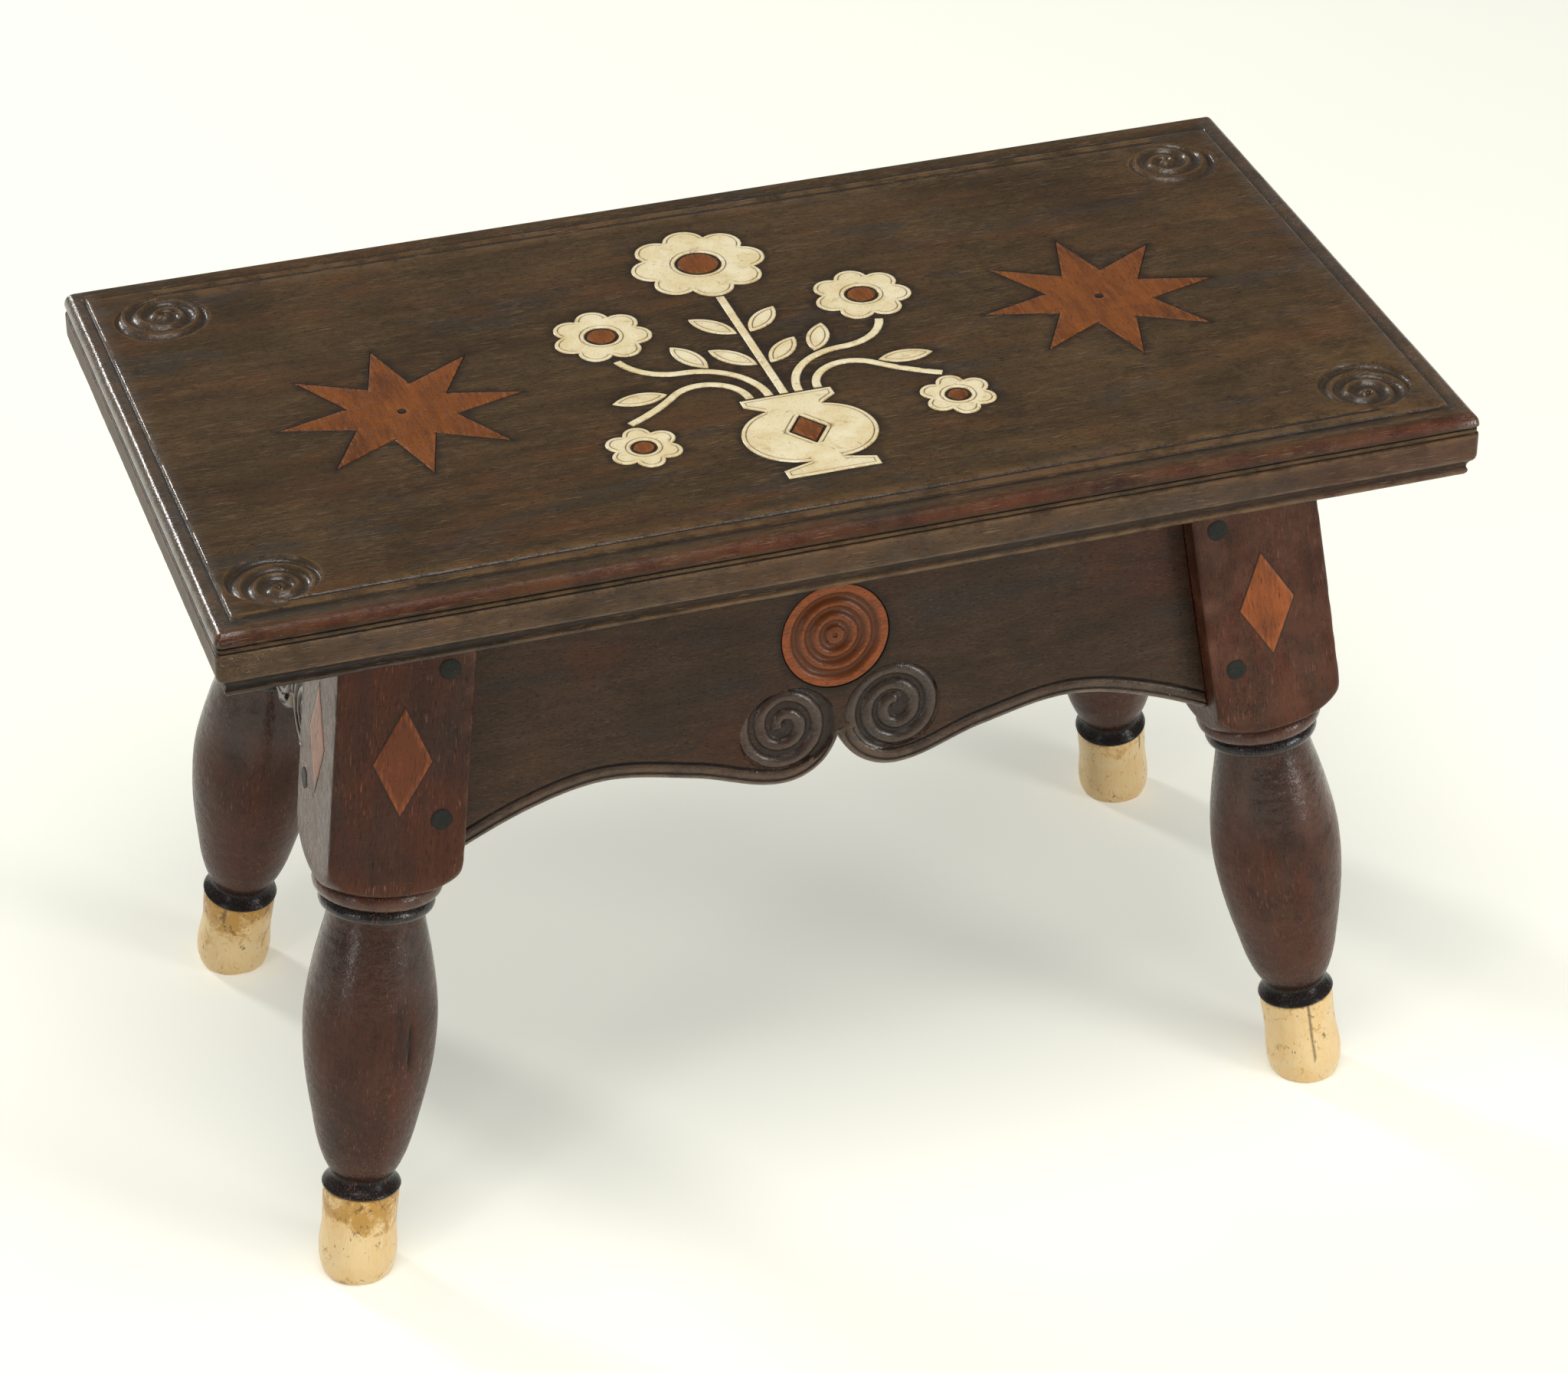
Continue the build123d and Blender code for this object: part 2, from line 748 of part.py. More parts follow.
def inlay_faces():
    """Faces of the urn of flowers, in lists by node name."""
    flowers = (
        ("top", (0,), top_flower_y, top_petal_reach, top_petal_radius, top_petal_count),
        ("side", (-1, 1), side_flower_y, side_petal_reach, side_petal_radius, side_petal_count),
        ("low", (-1, 1), low_flower_y, low_petal_reach, low_petal_radius, low_petal_count),
    )
    centres = {"top": 0, "side": side_flower_x, "low": low_flower_x}
    faces = {"inlay_urn": [urn_face()], "inlay_urn_lozenge": [lozenge_face(0)], "inlay_eyes": []}
    for name, sides, y, petal_reach, petal_radius, petal_count in flowers:
        petals = []
        for side in sides:
            x = side * centres[name]
            petals.append(flower_face(x, y, petal_reach, petal_radius, petal_count))
            faces["inlay_eyes"].append(eye_face(x, y, petal_reach))
        faces["inlay_flower_" + name] = petals
    stem_start = urn_top + inlay_gap
    stem_end = top_flower_y - top_petal_reach - top_petal_radius - inlay_gap
    top_stem = [Line((0, stem_start), (0, stem_end))]
    low_flower_top = low_flower_y + low_petal_reach + low_petal_radius
    side_stem = stem_line(
        (side_stem_start_x, stem_start),
        (side_stem_bend_x, side_stem_bend_y),
        (side_flower_x, side_flower_y - side_petal_reach - side_petal_radius - inlay_gap),
    )
    low_stem = stem_line(
        (low_stem_start_x, stem_start),
        (low_stem_bend_x, low_stem_bend_y),
        (low_flower_x, low_flower_top + inlay_gap + stem_width / 2),
    )
    faces["inlay_stem_top"] = [stem_face(top_stem)]
    stem_faces = [stem_face(side_stem), stem_face(low_stem)]
    faces["inlay_stems"] = stem_faces + [mirror(face, about=Plane.YZ) for face in stem_faces]
    leaves = [leaf_face(top_stem, share, -1) for share in top_leaf_shares]
    leaves += [leaf_face(side_stem, share, 1) for share in side_leaf_shares]
    leaves += [leaf_face(low_stem, share, 1) for share in low_leaf_shares]
    faces["inlay_leaves"] = leaves + [mirror(leaf, about=Plane.YZ) for leaf in leaves]
    return faces


def sink(face, depth):
    """Solid from an outline in the plane of the top, downwards by a depth."""
    return extrude(face, depth, dir=(0, 0, -1))


def set_into_top(face, thickness):
    """Inlaid piece of the top, flush with it."""
    return Pos(0, 0, stool_height) * sink(face, thickness)


def make_board(faces):
    """Top board: moulded all round, grooved, dished and pocketed for its inlay."""
    along = extrude(Plane.YZ * board_section(board_depth), board_length / 2, both=True)
    across = extrude(Plane.XZ * board_section(board_length), board_depth / 2, both=True)
    board = along & across
    blank = RectangleRounded(board_length, board_depth, board_corner_radius)
    board &= extrude(blank, -board_thickness)
    for x in (-star_from_middle, star_from_middle):
        board -= Pos(x, 0, 0) * sink(star_face(inlay_clearance), inlay_thickness)
        board -= Pos(x, 0, 0) * star_pin(0)
    for group in faces.values():
        for face in group:
            board -= sink(offset(face, inlay_clearance), inlay_thickness)
    board -= edge_groove()
    for dish in four_ways(corner_dish()).values():
        board -= dish
    return Pos(0, 0, stool_height) * board


# Glue blocks in the angle under the top

def glue_block(frame, leg_line, place_share, length_share):
    """Glue block against the inner face of an apron, level under the top."""
    inward = (-apron_thickness - glue_block_square, -apron_thickness)
    along = leg_line * place_share
    half = leg_line * length_share / 2
    lengthwise = (along - half, along + half)
    stick = block(lengthwise, (-glue_block_square, overrun), inward)
    return frame * stick - above_underside()


nodes = {}


def keep(name, *solids):
    """Hold one named node, of one solid or a group of like ones."""
    nodes[name] = solids[0] if len(solids) == 1 else Compound(children=list(solids))


leg = make_leg()
foot = make_foot()
front_diamond = leg_frame * diamond_tile(diamond_thickness, 0, False)
end_diamond = leg_frame * diamond_tile(diamond_thickness, 0, True)
for corner, shape in four_ways(leg).items():
    keep("leg_" + corner, shape)
for corner, shape in four_ways(foot).items():
    keep("foot_" + corner, shape)
for corner, shape in four_ways(front_diamond).items():
    keep("diamond_long_side_" + corner, shape)
for corner, shape in four_ways(end_diamond).items():
    keep("diamond_end_" + corner, shape)

long_pegs = leg_frame * peg_rods(peg_radius, peg_length, False)
end_pegs = leg_frame * peg_rods(peg_radius, peg_length, True)
front_pegs = long_pegs.solids() + to_right(long_pegs).solids()
left_pegs = end_pegs.solids() + to_back(end_pegs).solids()
keep("pegs_front", *front_pegs)
keep("pegs_back", *[to_back(peg) for peg in front_pegs])
keep("pegs_left", *left_pegs)
keep("pegs_right", *[to_right(peg) for peg in left_pegs])

front_apron = make_long_apron()
left_apron = make_end_apron()
keep("apron_front", front_apron)
keep("apron_back", to_back(front_apron))
keep("apron_left", left_apron)
keep("apron_right", to_right(left_apron))

roundel = make_roundel()
keep("roundel_front", roundel)
keep("roundel_back", to_back(roundel))

faces = inlay_faces()
keep("top_board", make_board(faces))
star = set_into_top(star_face(0), inlay_thickness) - Pos(0, 0, stool_height) * star_pin(0)
pin = Pos(0, 0, stool_height) * star_pin(-star_pin_clearance)
keep("star_left", Pos(-star_from_middle, 0, 0) * star)
keep("star_right", Pos(star_from_middle, 0, 0) * star)
keep("star_pins", Pos(-star_from_middle, 0, 0) * pin, Pos(star_from_middle, 0, 0) * pin)
for name, group in faces.items():
    keep(name, *[set_into_top(face, inlay_thickness) for face in group])

long_block = glue_block(
    front_frame, leg_tops_apart_lengthwise / 2, glue_block_place_share, glue_block_length_share
)
end_block = glue_block(
    left_frame, leg_tops_apart_crosswise / 2, 0, end_glue_block_length_share
)
keep("glue_blocks_long", *four_ways(long_block).values())
keep("glue_blocks_end", end_block, to_right(end_block))

os.makedirs("parts", exist_ok=True)
for name, shape in nodes.items():
    export_step(shape, "parts/" + name + ".step")
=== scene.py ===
from math import cos, hypot, pi, radians, sin, sqrt, tan

import bmesh
import bpy
import numpy as np
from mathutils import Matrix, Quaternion, Vector
from mathutils.geometry import delaunay_2d_cdt


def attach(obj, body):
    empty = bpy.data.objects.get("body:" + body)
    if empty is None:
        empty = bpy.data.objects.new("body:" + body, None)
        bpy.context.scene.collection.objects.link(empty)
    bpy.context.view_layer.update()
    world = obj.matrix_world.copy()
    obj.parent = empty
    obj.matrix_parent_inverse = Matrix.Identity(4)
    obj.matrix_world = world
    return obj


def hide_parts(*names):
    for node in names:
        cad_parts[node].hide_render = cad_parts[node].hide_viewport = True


# Looks of the inlaid footstool. Sizes are in millimetres until a mesh is made.
# X runs along the stool, the front is towards -Y, the floor is at Z = 0.

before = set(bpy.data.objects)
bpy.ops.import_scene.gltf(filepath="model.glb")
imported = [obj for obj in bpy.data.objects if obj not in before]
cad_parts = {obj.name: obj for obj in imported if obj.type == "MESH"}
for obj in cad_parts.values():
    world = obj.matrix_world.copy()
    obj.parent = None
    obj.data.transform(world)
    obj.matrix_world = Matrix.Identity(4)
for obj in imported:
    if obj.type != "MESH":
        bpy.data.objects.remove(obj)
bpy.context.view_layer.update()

MM = 0.001

# The board, as in the CAD
board_top = 243.5
board_half_length = 188.0
board_half_depth = 102.5
underside = 222.0
top_bead = 3.8

# The legs' own frames, as in the CAD
lean_x = tan(radians(7.4))
lean_y = tan(radians(7.0))
leg_tops_x = 253.3
leg_tops_y = 110.9
half_square = 20.15
leg_length = underside * sqrt(1 + lean_x**2 + lean_y**2)

# Corners: name, side along X, side along Y
corners = (
    ("front_left", -1, -1),
    ("front_right", 1, -1),
    ("back_left", -1, 1),
    ("back_right", 1, 1),
)
# Pieces stay this far inside the CAD's level faces
clear_below = 0.02
full_turn = 2 * pi


def unit(vector):
    vector = np.asarray(vector, float)
    return vector / np.linalg.norm(vector)


def smooth_step(low, high, value):
    share = np.clip((np.asarray(value, float) - low) / (high - low), 0, 1)
    return share * share * (3 - 2 * share)


def fade(low, high, value):
    """Smooth step from 1 down to 0."""
    return 1 - smooth_step(low, high, value)


def ripple(points, size, seed):
    """Smooth seeded noise from -1 to 1: crossed waves of about one size."""
    rng = np.random.default_rng(seed)
    points = np.asarray(points, float)
    total = np.zeros(len(points))
    for _ in range(9):
        heading = rng.normal(size=points.shape[1])
        heading *= full_turn / (size * rng.uniform(0.7, 1.6) * np.linalg.norm(heading))
        total += np.sin(points @ heading + rng.uniform(0, full_turn))
    return total / 5


def turns(count):
    """Angles of a full turn in equal steps."""
    return np.linspace(0, full_turn, count, endpoint=False)


def circle_points(angles):
    return np.stack((np.cos(angles), np.sin(angles)), 1)


def grid_points(low, high, spacing):
    x, y = np.meshgrid(*(np.arange(a, b, spacing) for a, b in zip(low, high)))
    return np.stack((x.ravel(), y.ravel()), 1)


def cubic(t, span, low, high, slope_low, slope_high):
    """Place on a cubic between two ends with their slopes, at a share t of its span."""
    return (
        (2 * t**3 - 3 * t**2 + 1) * low
        + (t**3 - 2 * t**2 + t) * span * slope_low
        + (-2 * t**3 + 3 * t**2) * high
        + (t**3 - t**2) * span * slope_high
    )


def leg_axes():
    up = unit((lean_x, lean_y, 1))
    along = unit((1 + lean_y**2, -lean_x * lean_y, -lean_x))
    return along, np.cross(up, along), up


def leg_to_world(points, side_x, side_y):
    """From the front left leg's frame to the stool's, mirrored to its corner."""
    middle = np.array((-leg_tops_x / 2, -leg_tops_y / 2, 0))
    origin = middle - underside * np.array((lean_x, lean_y, 0))
    world = origin + np.asarray(points, float) @ np.array(leg_axes())
    return world * (-side_x, -side_y, 1)


class Panel:
    """Frame of an apron: X along it, Y up its slope from the board, Z out of its face."""

    def __init__(self, along, outward, lean, tops_apart, setback):
        outward = np.array(outward, float)
        out = tops_apart / 2 + (half_square - setback) * hypot(1, lean)
        self.origin = outward * out + (0, 0, underside)
        self.z = unit(outward + (0, 0, lean))
        self.x = np.array(along, float)
        self.y = np.cross(self.z, self.x)

    def world(self, points, flip=""):
        """Places of points, turned over to the other side along X or Y if asked."""
        sides = (-1 if flip == "x" else 1, -1 if flip == "y" else 1, 1)
        axes = np.array((self.x, self.y, self.z))
        return (self.origin + np.asarray(points, float) @ axes) * sides


front_panel = Panel((1, 0, 0), (0, -1, 0), lean_y, leg_tops_y, 7.8)
left_panel = Panel((0, -1, 0), (-1, 0, 0), lean_x, leg_tops_x, 9.0)


# Meshes

def grid_faces(rows, columns, wrap=True):
    """Quads of a grid of points, row by row."""
    row, column = np.meshgrid(
        np.arange(rows - 1), np.arange(columns if wrap else columns - 1), indexing="ij"
    )
    after = (column + 1) % columns
    low = row * columns
    high = low + columns
    return np.stack((low + column, low + after, high + after, high + column), -1).reshape(-1, 4)


def turned_over(faces):
    return [face[::-1] for face in faces]


class Rows:
    """Rings of points with their layers, from which a part is made."""

    def __init__(self):
        self.rings = []
        self.layers = {}

    def add(self, x, y, z, **layers):
        ring = np.stack(np.broadcast_arrays(x, y, z), 1).astype(float)
        self.rings.append(ring)
        for name, value in layers.items():
            self.layers.setdefault(name, []).append(np.zeros(len(ring)) + value)

    def part(self, wrap=True, first=False, last=True, over=False):
        """Points, faces and layers, closed by a face at the first and last ring if asked.

        over: the faces are turned over.
        """
        rows, count = len(self.rings), len(self.rings[0])
        faces = grid_faces(rows, count, wrap).tolist()
        if last:
            faces.append(list(range((rows - 1) * count, rows * count)))
        if first:
            faces.append(list(range(count))[::-1])
        faces = turned_over(faces) if over else faces
        layers = {name: np.concatenate(values) for name, values in self.layers.items()}
        return np.concatenate(self.rings), faces, layers


def weld(mesh, distance=0.005):
    """Joins the points that lie on each other where parts of a mesh meet."""
    work = bmesh.new()
    work.from_mesh(mesh)
    bmesh.ops.remove_doubles(work, verts=work.verts, dist=distance * MM)
    work.to_mesh(mesh)
    work.free()


def add_piece(name, points, faces, material, slot, node, welded=False, turned=False, **layers):
    """One mesh of the object: millimetres in, metres out, with its layers for the shader.

    turned: the points were mirrored an odd number of times, so the faces are turned over.
    """
    mesh = bpy.data.meshes.new(name)
    faces = [[int(index) for index in face] for face in faces]
    faces = turned_over(faces) if turned else faces
    mesh.from_pydata((np.asarray(points, float) * MM).tolist(), [], faces)
    for layer, values in layers.items():
        values = np.asarray(values, np.float32)
        kind, field = ("FLOAT_VECTOR", "vector") if values.ndim == 2 else ("FLOAT", "value")
        data = mesh.attributes.new(layer, kind, "POINT").data
        data.foreach_set(field, values.ravel())
    mesh.validate()
    mesh.materials.append(material)
    if welded:
        weld(mesh)
    mesh.shade_smooth()
    mesh.set_sharp_from_angle(angle=radians(35))
    piece = bpy.data.objects.new(name, mesh)
    bpy.context.scene.collection.objects.link(piece)
    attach(piece, "root")
    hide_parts(node)


def merge(parts):
    """Joins (points, faces, layers) parts into one. A layer that a part lacks is zero in it."""
    names = {name for _, _, layers in parts for name in layers}
    points, faces, joined, count = [], [], {name: [] for name in sorted(names)}, 0
    for part_points, part_faces, layers in parts:
        points.append(np.asarray(part_points, float))
        faces += [[int(index) + count for index in face] for face in part_faces]
        for name, values in joined.items():
            values.append(np.asarray(layers.get(name, np.zeros(len(part_points))), float))
        count += len(part_points)
    return np.concatenate(points), faces, {key: np.concatenate(v) for key, v in joined.items()}


# Materials

class Shader:
    """Short way to write a material's node tree."""

    def __init__(self, name, coordinates=("Attribute", "Vector", {"attribute_name": "local"})):
        self.material = bpy.data.materials.new(name)
        self.material.use_nodes = True
        self.tree = self.material.node_tree
        self.tree.nodes.clear()
        self.coordinates = coordinates

    def put(self, socket, value):
        if isinstance(value, bpy.types.NodeSocket):
            self.tree.links.new(value, socket)
        elif isinstance(value, tuple) and len(value) == 3 and socket.type == "RGBA":
            socket.default_value = (*value, 1)
        else:
            socket.default_value = value

    def node(self, kind, inputs, output=0, **settings):
        node = self.tree.nodes.new("ShaderNode" + kind)
        for key, value in settings.items():
            setattr(node, key, value)
        for key, value in inputs.items():
            self.put(node.inputs[key], value)
        return node.outputs[output]

    def layer(self, name):
        return self.node("Attribute", {}, "Fac", attribute_name=name)

    def place(self, stretch, shift=(0, 0, 0), turn=0.0):
        """The material's coordinates, stretched along its grain."""
        kind, output, settings = self.coordinates
        inputs = {
            "Vector": self.node(kind, {}, output, **settings),
            "Scale": tuple(map(float, np.broadcast_to(stretch, 3))),
            "Rotation": (0, 0, radians(turn)),
            "Location": shift,
        }
        return self.node("Mapping", inputs)

    def noise(self, stretch, detail=4.0, roughness=0.55, distortion=0.0, **place):
        inputs = {
            "Vector": self.place(stretch, **place),
            "Scale": 1.0,
            "Detail": detail,
            "Roughness": roughness,
            "Distortion": distortion,
        }
        return self.node("TexNoise", inputs)

    def cells(self, stretch):
        inputs = {"Vector": self.place(stretch), "Scale": 1.0, "Randomness": 1.0}
        return self.node("TexVoronoi", inputs)

    def step(self, value, low, high, top=1.0, bottom=0.0):
        """Smooth step from bottom to top between two values."""
        inputs = {
            "Value": value, "From Min": low, "From Max": high, "To Min": bottom, "To Max": top
        }
        return self.node("MapRange", inputs, interpolation_type="SMOOTHSTEP")

    def ramp(self, value, *stops):
        node = self.tree.nodes.new("ShaderNodeValToRGB")
        for element, (place, colour) in zip(node.color_ramp.elements, stops):
            element.position = place
            element.color = (*colour, 1)
        for place, colour in stops[2:]:
            node.color_ramp.elements.new(place).color = (*colour, 1)
        self.put(node.inputs["Fac"], value)
        return node.outputs["Color"]

    def calc(self, operation, first, second):
        return self.node("Math", {0: first, 1: second}, operation=operation)

    def times(self, *values):
        total = values[0]
        for value in values[1:]:
            total = self.calc("MULTIPLY", total, value)
        return total

    def sum(self, *terms):
        """Sum of terms, each a value or a value with its weight."""
        terms = [self.times(*term) if isinstance(term, tuple) else term for term in terms]
        total = terms[0]
        for term in terms[1:]:
            total = self.calc("ADD", total, term)
        return total

    def mix(self, colour, share, over):
        """Lays a colour over another, by a share or a share with its weight."""
        share = self.times(*share) if isinstance(share, tuple) else share
        return self.node("Mix", {0: share, 6: colour, 7: over}, 2, data_type="RGBA")

    def finish(self, colour, roughness, height, depth, **constants):
        """Makes the surface. depth is the bump's full height in millimetres."""
        bump = {"Height": height, "Strength": 1.0, "Distance": depth * MM}
        normal = self.node("Bump", bump)
        inputs = {
            "Base Color": colour, "Roughness": roughness, "Normal": normal, "Coat Normal": normal
        }
        inputs.update({name.replace("_", " "): value for name, value in constants.items()})
        surface = self.node("BsdfPrincipled", inputs)
        output = self.tree.nodes.new("ShaderNodeOutputMaterial")
        self.put(output.inputs["Surface"], surface)
        return self.material


def scratches(s, angles, length, width, low, high):
    """Fine hairline scratches at several angles in the piece's own XY plane."""
    total = None
    for index, turn in enumerate(angles):
        shift = (index * 7.3, index * 3.1, 0)
        stretch = (1 / length, 1 / width, 1 / width)
        line = s.step(s.noise(stretch, 1.0, 0.3, 0.35, shift=shift, turn=turn), low, high)
        mask = s.noise(0.05, 2.0, shift=(0, index * 5.7, 0), turn=turn)
        line = s.times(line, s.step(mask, 0.5, 0.6))
        total = line if total is None else s.calc("MAXIMUM", total, line)
    return total


# What lies on old wood and bone
dirt_colour, red_dirt_colour = (0.013, 0.010, 0.008), (0.020, 0.012, 0.008)
black_colour = (0.010, 0.0092, 0.0092)
speck_colour, scuff_colour = (0.26, 0.20, 0.12), (0.42, 0.35, 0.22)
blot_colour, pit_colour = (0.16, 0.07, 0.018), (0.24, 0.11, 0.03)


def dark_wood(
    name, colours, worn, grain, gloss, accents,
    specks=0.5, scratch=0.5, dashes=0.0, scuffed=0.0, lumps=0.0,
):
    """Old polished wood. grain is the stretch of the piece's own coordinates along it.

    Layers: wear lightens and polishes, for real worn spots and for painted light
    on the board's right and the legs' lit faces; grime darkens, red reddens, tone blackens,
    also as painted shade on the legs and under the board's front moulding; sleek gives
    a polish that shines, scuff frees the scuffs.
    accents are two colours that drift through it in streaks.
    """
    s = Shader(name)
    g = np.array(grain)
    dark, _, light = colours
    streak = s.noise(g * 0.22, 5.0, 0.62, 0.4)
    fine = s.noise(g * 1.5, 3.0, 0.6)
    cloud = s.noise(0.02, 3.0, 0.6, 0.5)
    patch = s.noise(0.11, 4.0, 0.65)
    tiny = s.noise(1.7, 2.0, 0.7)
    value = s.sum((streak, 0.45), (fine, 0.30), (cloud, 0.35), (tiny, 0.20), -0.15)
    colour = s.ramp(value, *zip((0.34, 0.5, 0.68), colours))
    for accent, stretch, shift, low, high, share in (
        (accents[0], g * 0.06 + 0.012, (31, 7, 3), 0.56, 0.76, 0.55),
        (accents[1], g * 0.07 + 0.015, (3, 57, 9), 0.58, 0.74, 0.5),
    ):
        drift = s.noise(stretch, 4.0, 0.6, 0.5, shift=shift)
        colour = s.mix(colour, (s.step(s.sum(drift, (fine, 0.12)), low, high), share), accent)
    pores = s.step(s.noise(g * 3.2, 2.0, 0.5), 0.56, 0.68)
    colour = s.mix(colour, (pores, 0.75), tuple(0.3 * c for c in dark))
    reds = s.sum((streak, 0.7), (patch, 0.3))
    reds = s.ramp(reds, (0.36, (0.032, 0.008, 0.004)), (0.62, (0.100, 0.020, 0.007)))
    colour = s.mix(colour, s.layer("red"), reds)
    worn_patches = s.step(s.sum(patch, (tiny, 0.3)), 0.50, 0.78)
    colour = s.mix(colour, (s.layer("wear"), worn_patches), worn)
    dirt = s.step(s.sum(patch, (fine, 0.3)), 0.3, 0.62, 0.9, 0.5)
    colour = s.mix(colour, (s.layer("grime"), dirt), dirt_colour)
    black = s.step(tiny, 0.3, 0.6, 1.0, 0.82)
    colour = s.mix(colour, (s.layer("tone"), black), black_colour)
    marks = scratches(s, (12, -34, 74, 128), 7.0, 0.22, 0.66, 0.74)
    pale = tuple(min(1, 2.2 * c + 0.03) for c in light)
    colour = s.mix(colour, (marks, scratch), pale)
    if dashes:
        dash = s.step(s.noise(g * 2.4, 2.0, 0.5, shift=(40, 9, 4)), 0.61, 0.70)
        zone = s.step(s.noise(0.05, 3.0, shift=(7, 7, 31)), 0.38, 0.62)
        colour = s.mix(colour, (dash, zone, dashes), pale)
    near = s.step(s.noise(0.05, 3.0, shift=(9, 2, 5)), 0.46, 0.64)
    dots = s.times(s.step(s.cells(0.9), 0.15, 0.05), near)
    colour = s.mix(colour, (dots, specks), speck_colour)
    if scuffed:
        scuff = s.noise((1.5, 2.2, 1.5), 5.0, 0.75, 1.0, shift=(5, 5, 5), turn=25)
        zone = s.step(s.noise(0.03, 2.0, shift=(2, 8, 2)), 0.50, 0.64)
        share = (s.step(scuff, 0.57, 0.67), zone, s.layer("scuff"), scuffed)
        colour = s.mix(colour, share, scuff_colour)
    layers = {"grime": 0.06, "wear": -0.10, "tone": -0.14, "sleek": -0.12}
    rough = s.sum(
        gloss, (cloud, 0.10), (tiny, 0.12), (pores, 0.16),
        *((s.layer(layer), weight) for layer, weight in layers.items()),
        (dots, 0.2), -0.11,
    )
    height = s.sum((fine, 0.30), (pores, -0.35), (tiny, 0.40), (streak, 0.25), (marks, -0.2))
    if lumps:
        lump = s.noise((0.22, 0.22, 0.30), 3.0, 0.55, shift=(12, 4, 8))
        height = s.sum(height, (lump, lumps))
    shine = s.step(s.sum(patch, (fine, 0.4)), 0.45, 0.72, 1.0, 0.45)
    return s.finish(
        colour, rough, height, 0.14,
        Specular_IOR_Level=0.2, Coat_Weight=s.times(s.layer("sleek"), shine), Coat_Roughness=0.16,
    )


def red_wood(name, light, deep, grain, gloss=0.36, coat=0.1):
    """Orange-red inlay wood. Layers: grime darkens, wear lightens, tone deepens."""
    s = Shader(name)
    g = np.array(grain)
    streak = s.noise(g * 0.25, 5.0, 0.6, 0.3)
    fine = s.noise(g * 1.4, 3.0, 0.6)
    pore = s.step(s.noise(g * 3.0, 2.0), 0.58, 0.68)
    cloud = s.noise(0.06, 3.0)
    tiny = s.noise(1.7, 2.0, 0.7)
    value = s.sum(
        (streak, 0.45), (fine, 0.3), (cloud, 0.45), (tiny, 0.2), -0.2, (s.layer("tone"), -0.25)
    )
    colour = s.ramp(value, (0.34, deep), (0.64, light))
    colour = s.mix(colour, (pore, 0.6), tuple(0.2 * c for c in deep))
    dirt = s.step(s.sum(cloud, (fine, 0.4)), 0.3, 0.75, 1.0, 0.6)
    colour = s.mix(colour, (s.layer("grime"), dirt), red_dirt_colour)
    worn = tuple(min(1, 1.25 * c + 0.01) for c in light)
    colour = s.mix(colour, (s.layer("wear"), s.step(fine, 0.4, 0.65)), worn)
    rough = s.sum(gloss, (fine, 0.12), (pore, 0.15), (s.layer("grime"), 0.2), -0.08)
    height = s.sum((fine, 0.3), (pore, -0.4), (streak, 0.3), (tiny, 0.35))
    return s.finish(
        colour, rough, height, 0.12, Specular_IOR_Level=0.25, Coat_Weight=coat, Coat_Roughness=0.2
    )


def bone(name, light, warm, deep, stain_amount, pits, spots):
    """Old bone: ivory, stained in its cuts, pores and patches."""
    s = Shader(name)
    grime, cut = s.layer("grime"), s.layer("cut")
    cloud = s.noise(0.09, 4.0, 0.6, 0.6)
    fibre = s.noise((1.1, 1.1, 0.09), 3.0, 0.6)
    tiny = s.noise(1.1, 3.0, 0.6, shift=(4, 4, 4))
    colour = s.ramp(s.sum((cloud, 0.7), (fibre, 0.35)), (0.4, warm), (0.62, light))
    patch = s.noise(0.16, 5.0, 0.7, 0.8, shift=(3, 8, 1))
    stain = s.step(s.sum(patch, (tiny, 0.30), -0.15, (grime, 0.24)), 0.54, 0.80)
    colour = s.mix(colour, (stain, stain_amount), deep)
    blot = s.noise((0.42, 0.42, 0.26), 4.0, 0.7, 0.6, shift=(6, 1, 2))
    blot = s.step(s.sum(blot, (grime, 0.06)), 0.61, 0.70, spots)
    colour = s.mix(colour, (blot, stain_amount), blot_colour)
    streaks = s.step(s.sum(fibre, (patch, 0.35), (grime, 0.05)), 0.80, 0.90)
    colour = s.mix(colour, (streaks, 0.5 * stain_amount), deep)
    zone = s.step(s.noise((0.15, 0.15, 0.1), 3.0, shift=(1, 9, 4)), 0.48, 0.62)
    pit = s.times(s.step(s.cells((0.75, 0.75, 0.32)), 0.2, 0.09), zone)
    colour = s.mix(colour, (pit, pits), pit_colour)
    crease = s.ramp(tiny, (0.35, (0.05, 0.025, 0.010)), (0.7, (0.35, 0.21, 0.08)))
    colour = s.mix(colour, cut, crease)
    rough = s.sum(0.26, (cloud, 0.12), (pit, 0.2), (cut, 0.3))
    height = s.sum((tiny, 0.2), (pit, -0.7), (fibre, 0.25), (cloud, 0.3))
    return s.finish(colour, rough, height, 0.10, Coat_Weight=0.1, Coat_Roughness=0.3)


# Each wood: its dark, middle and light colour, worn colour, grain, gloss and accents
board_wood = dark_wood(
    "board_wood_polished",
    ((0.034, 0.0195, 0.0080), (0.063, 0.0360, 0.0140), (0.108, 0.061, 0.024)),
    (0.17, 0.095, 0.040), (0.16, 1.0, 1.0), 0.42,
    ((0.110, 0.044, 0.014), (0.036, 0.034, 0.031)),
    specks=0.6, scratch=0.6, scuffed=0.8, lumps=1.2,
)
leg_wood = dark_wood(
    "leg_wood_polished",
    ((0.033, 0.0110, 0.0052), (0.061, 0.0190, 0.0082), (0.098, 0.032, 0.0135)),
    (0.155, 0.066, 0.038), (1.0, 1.0, 0.10), 0.32,
    ((0.115, 0.024, 0.010), (0.036, 0.024, 0.019)),
    specks=0.2, scratch=0.08, dashes=0.75, lumps=2.4,
)
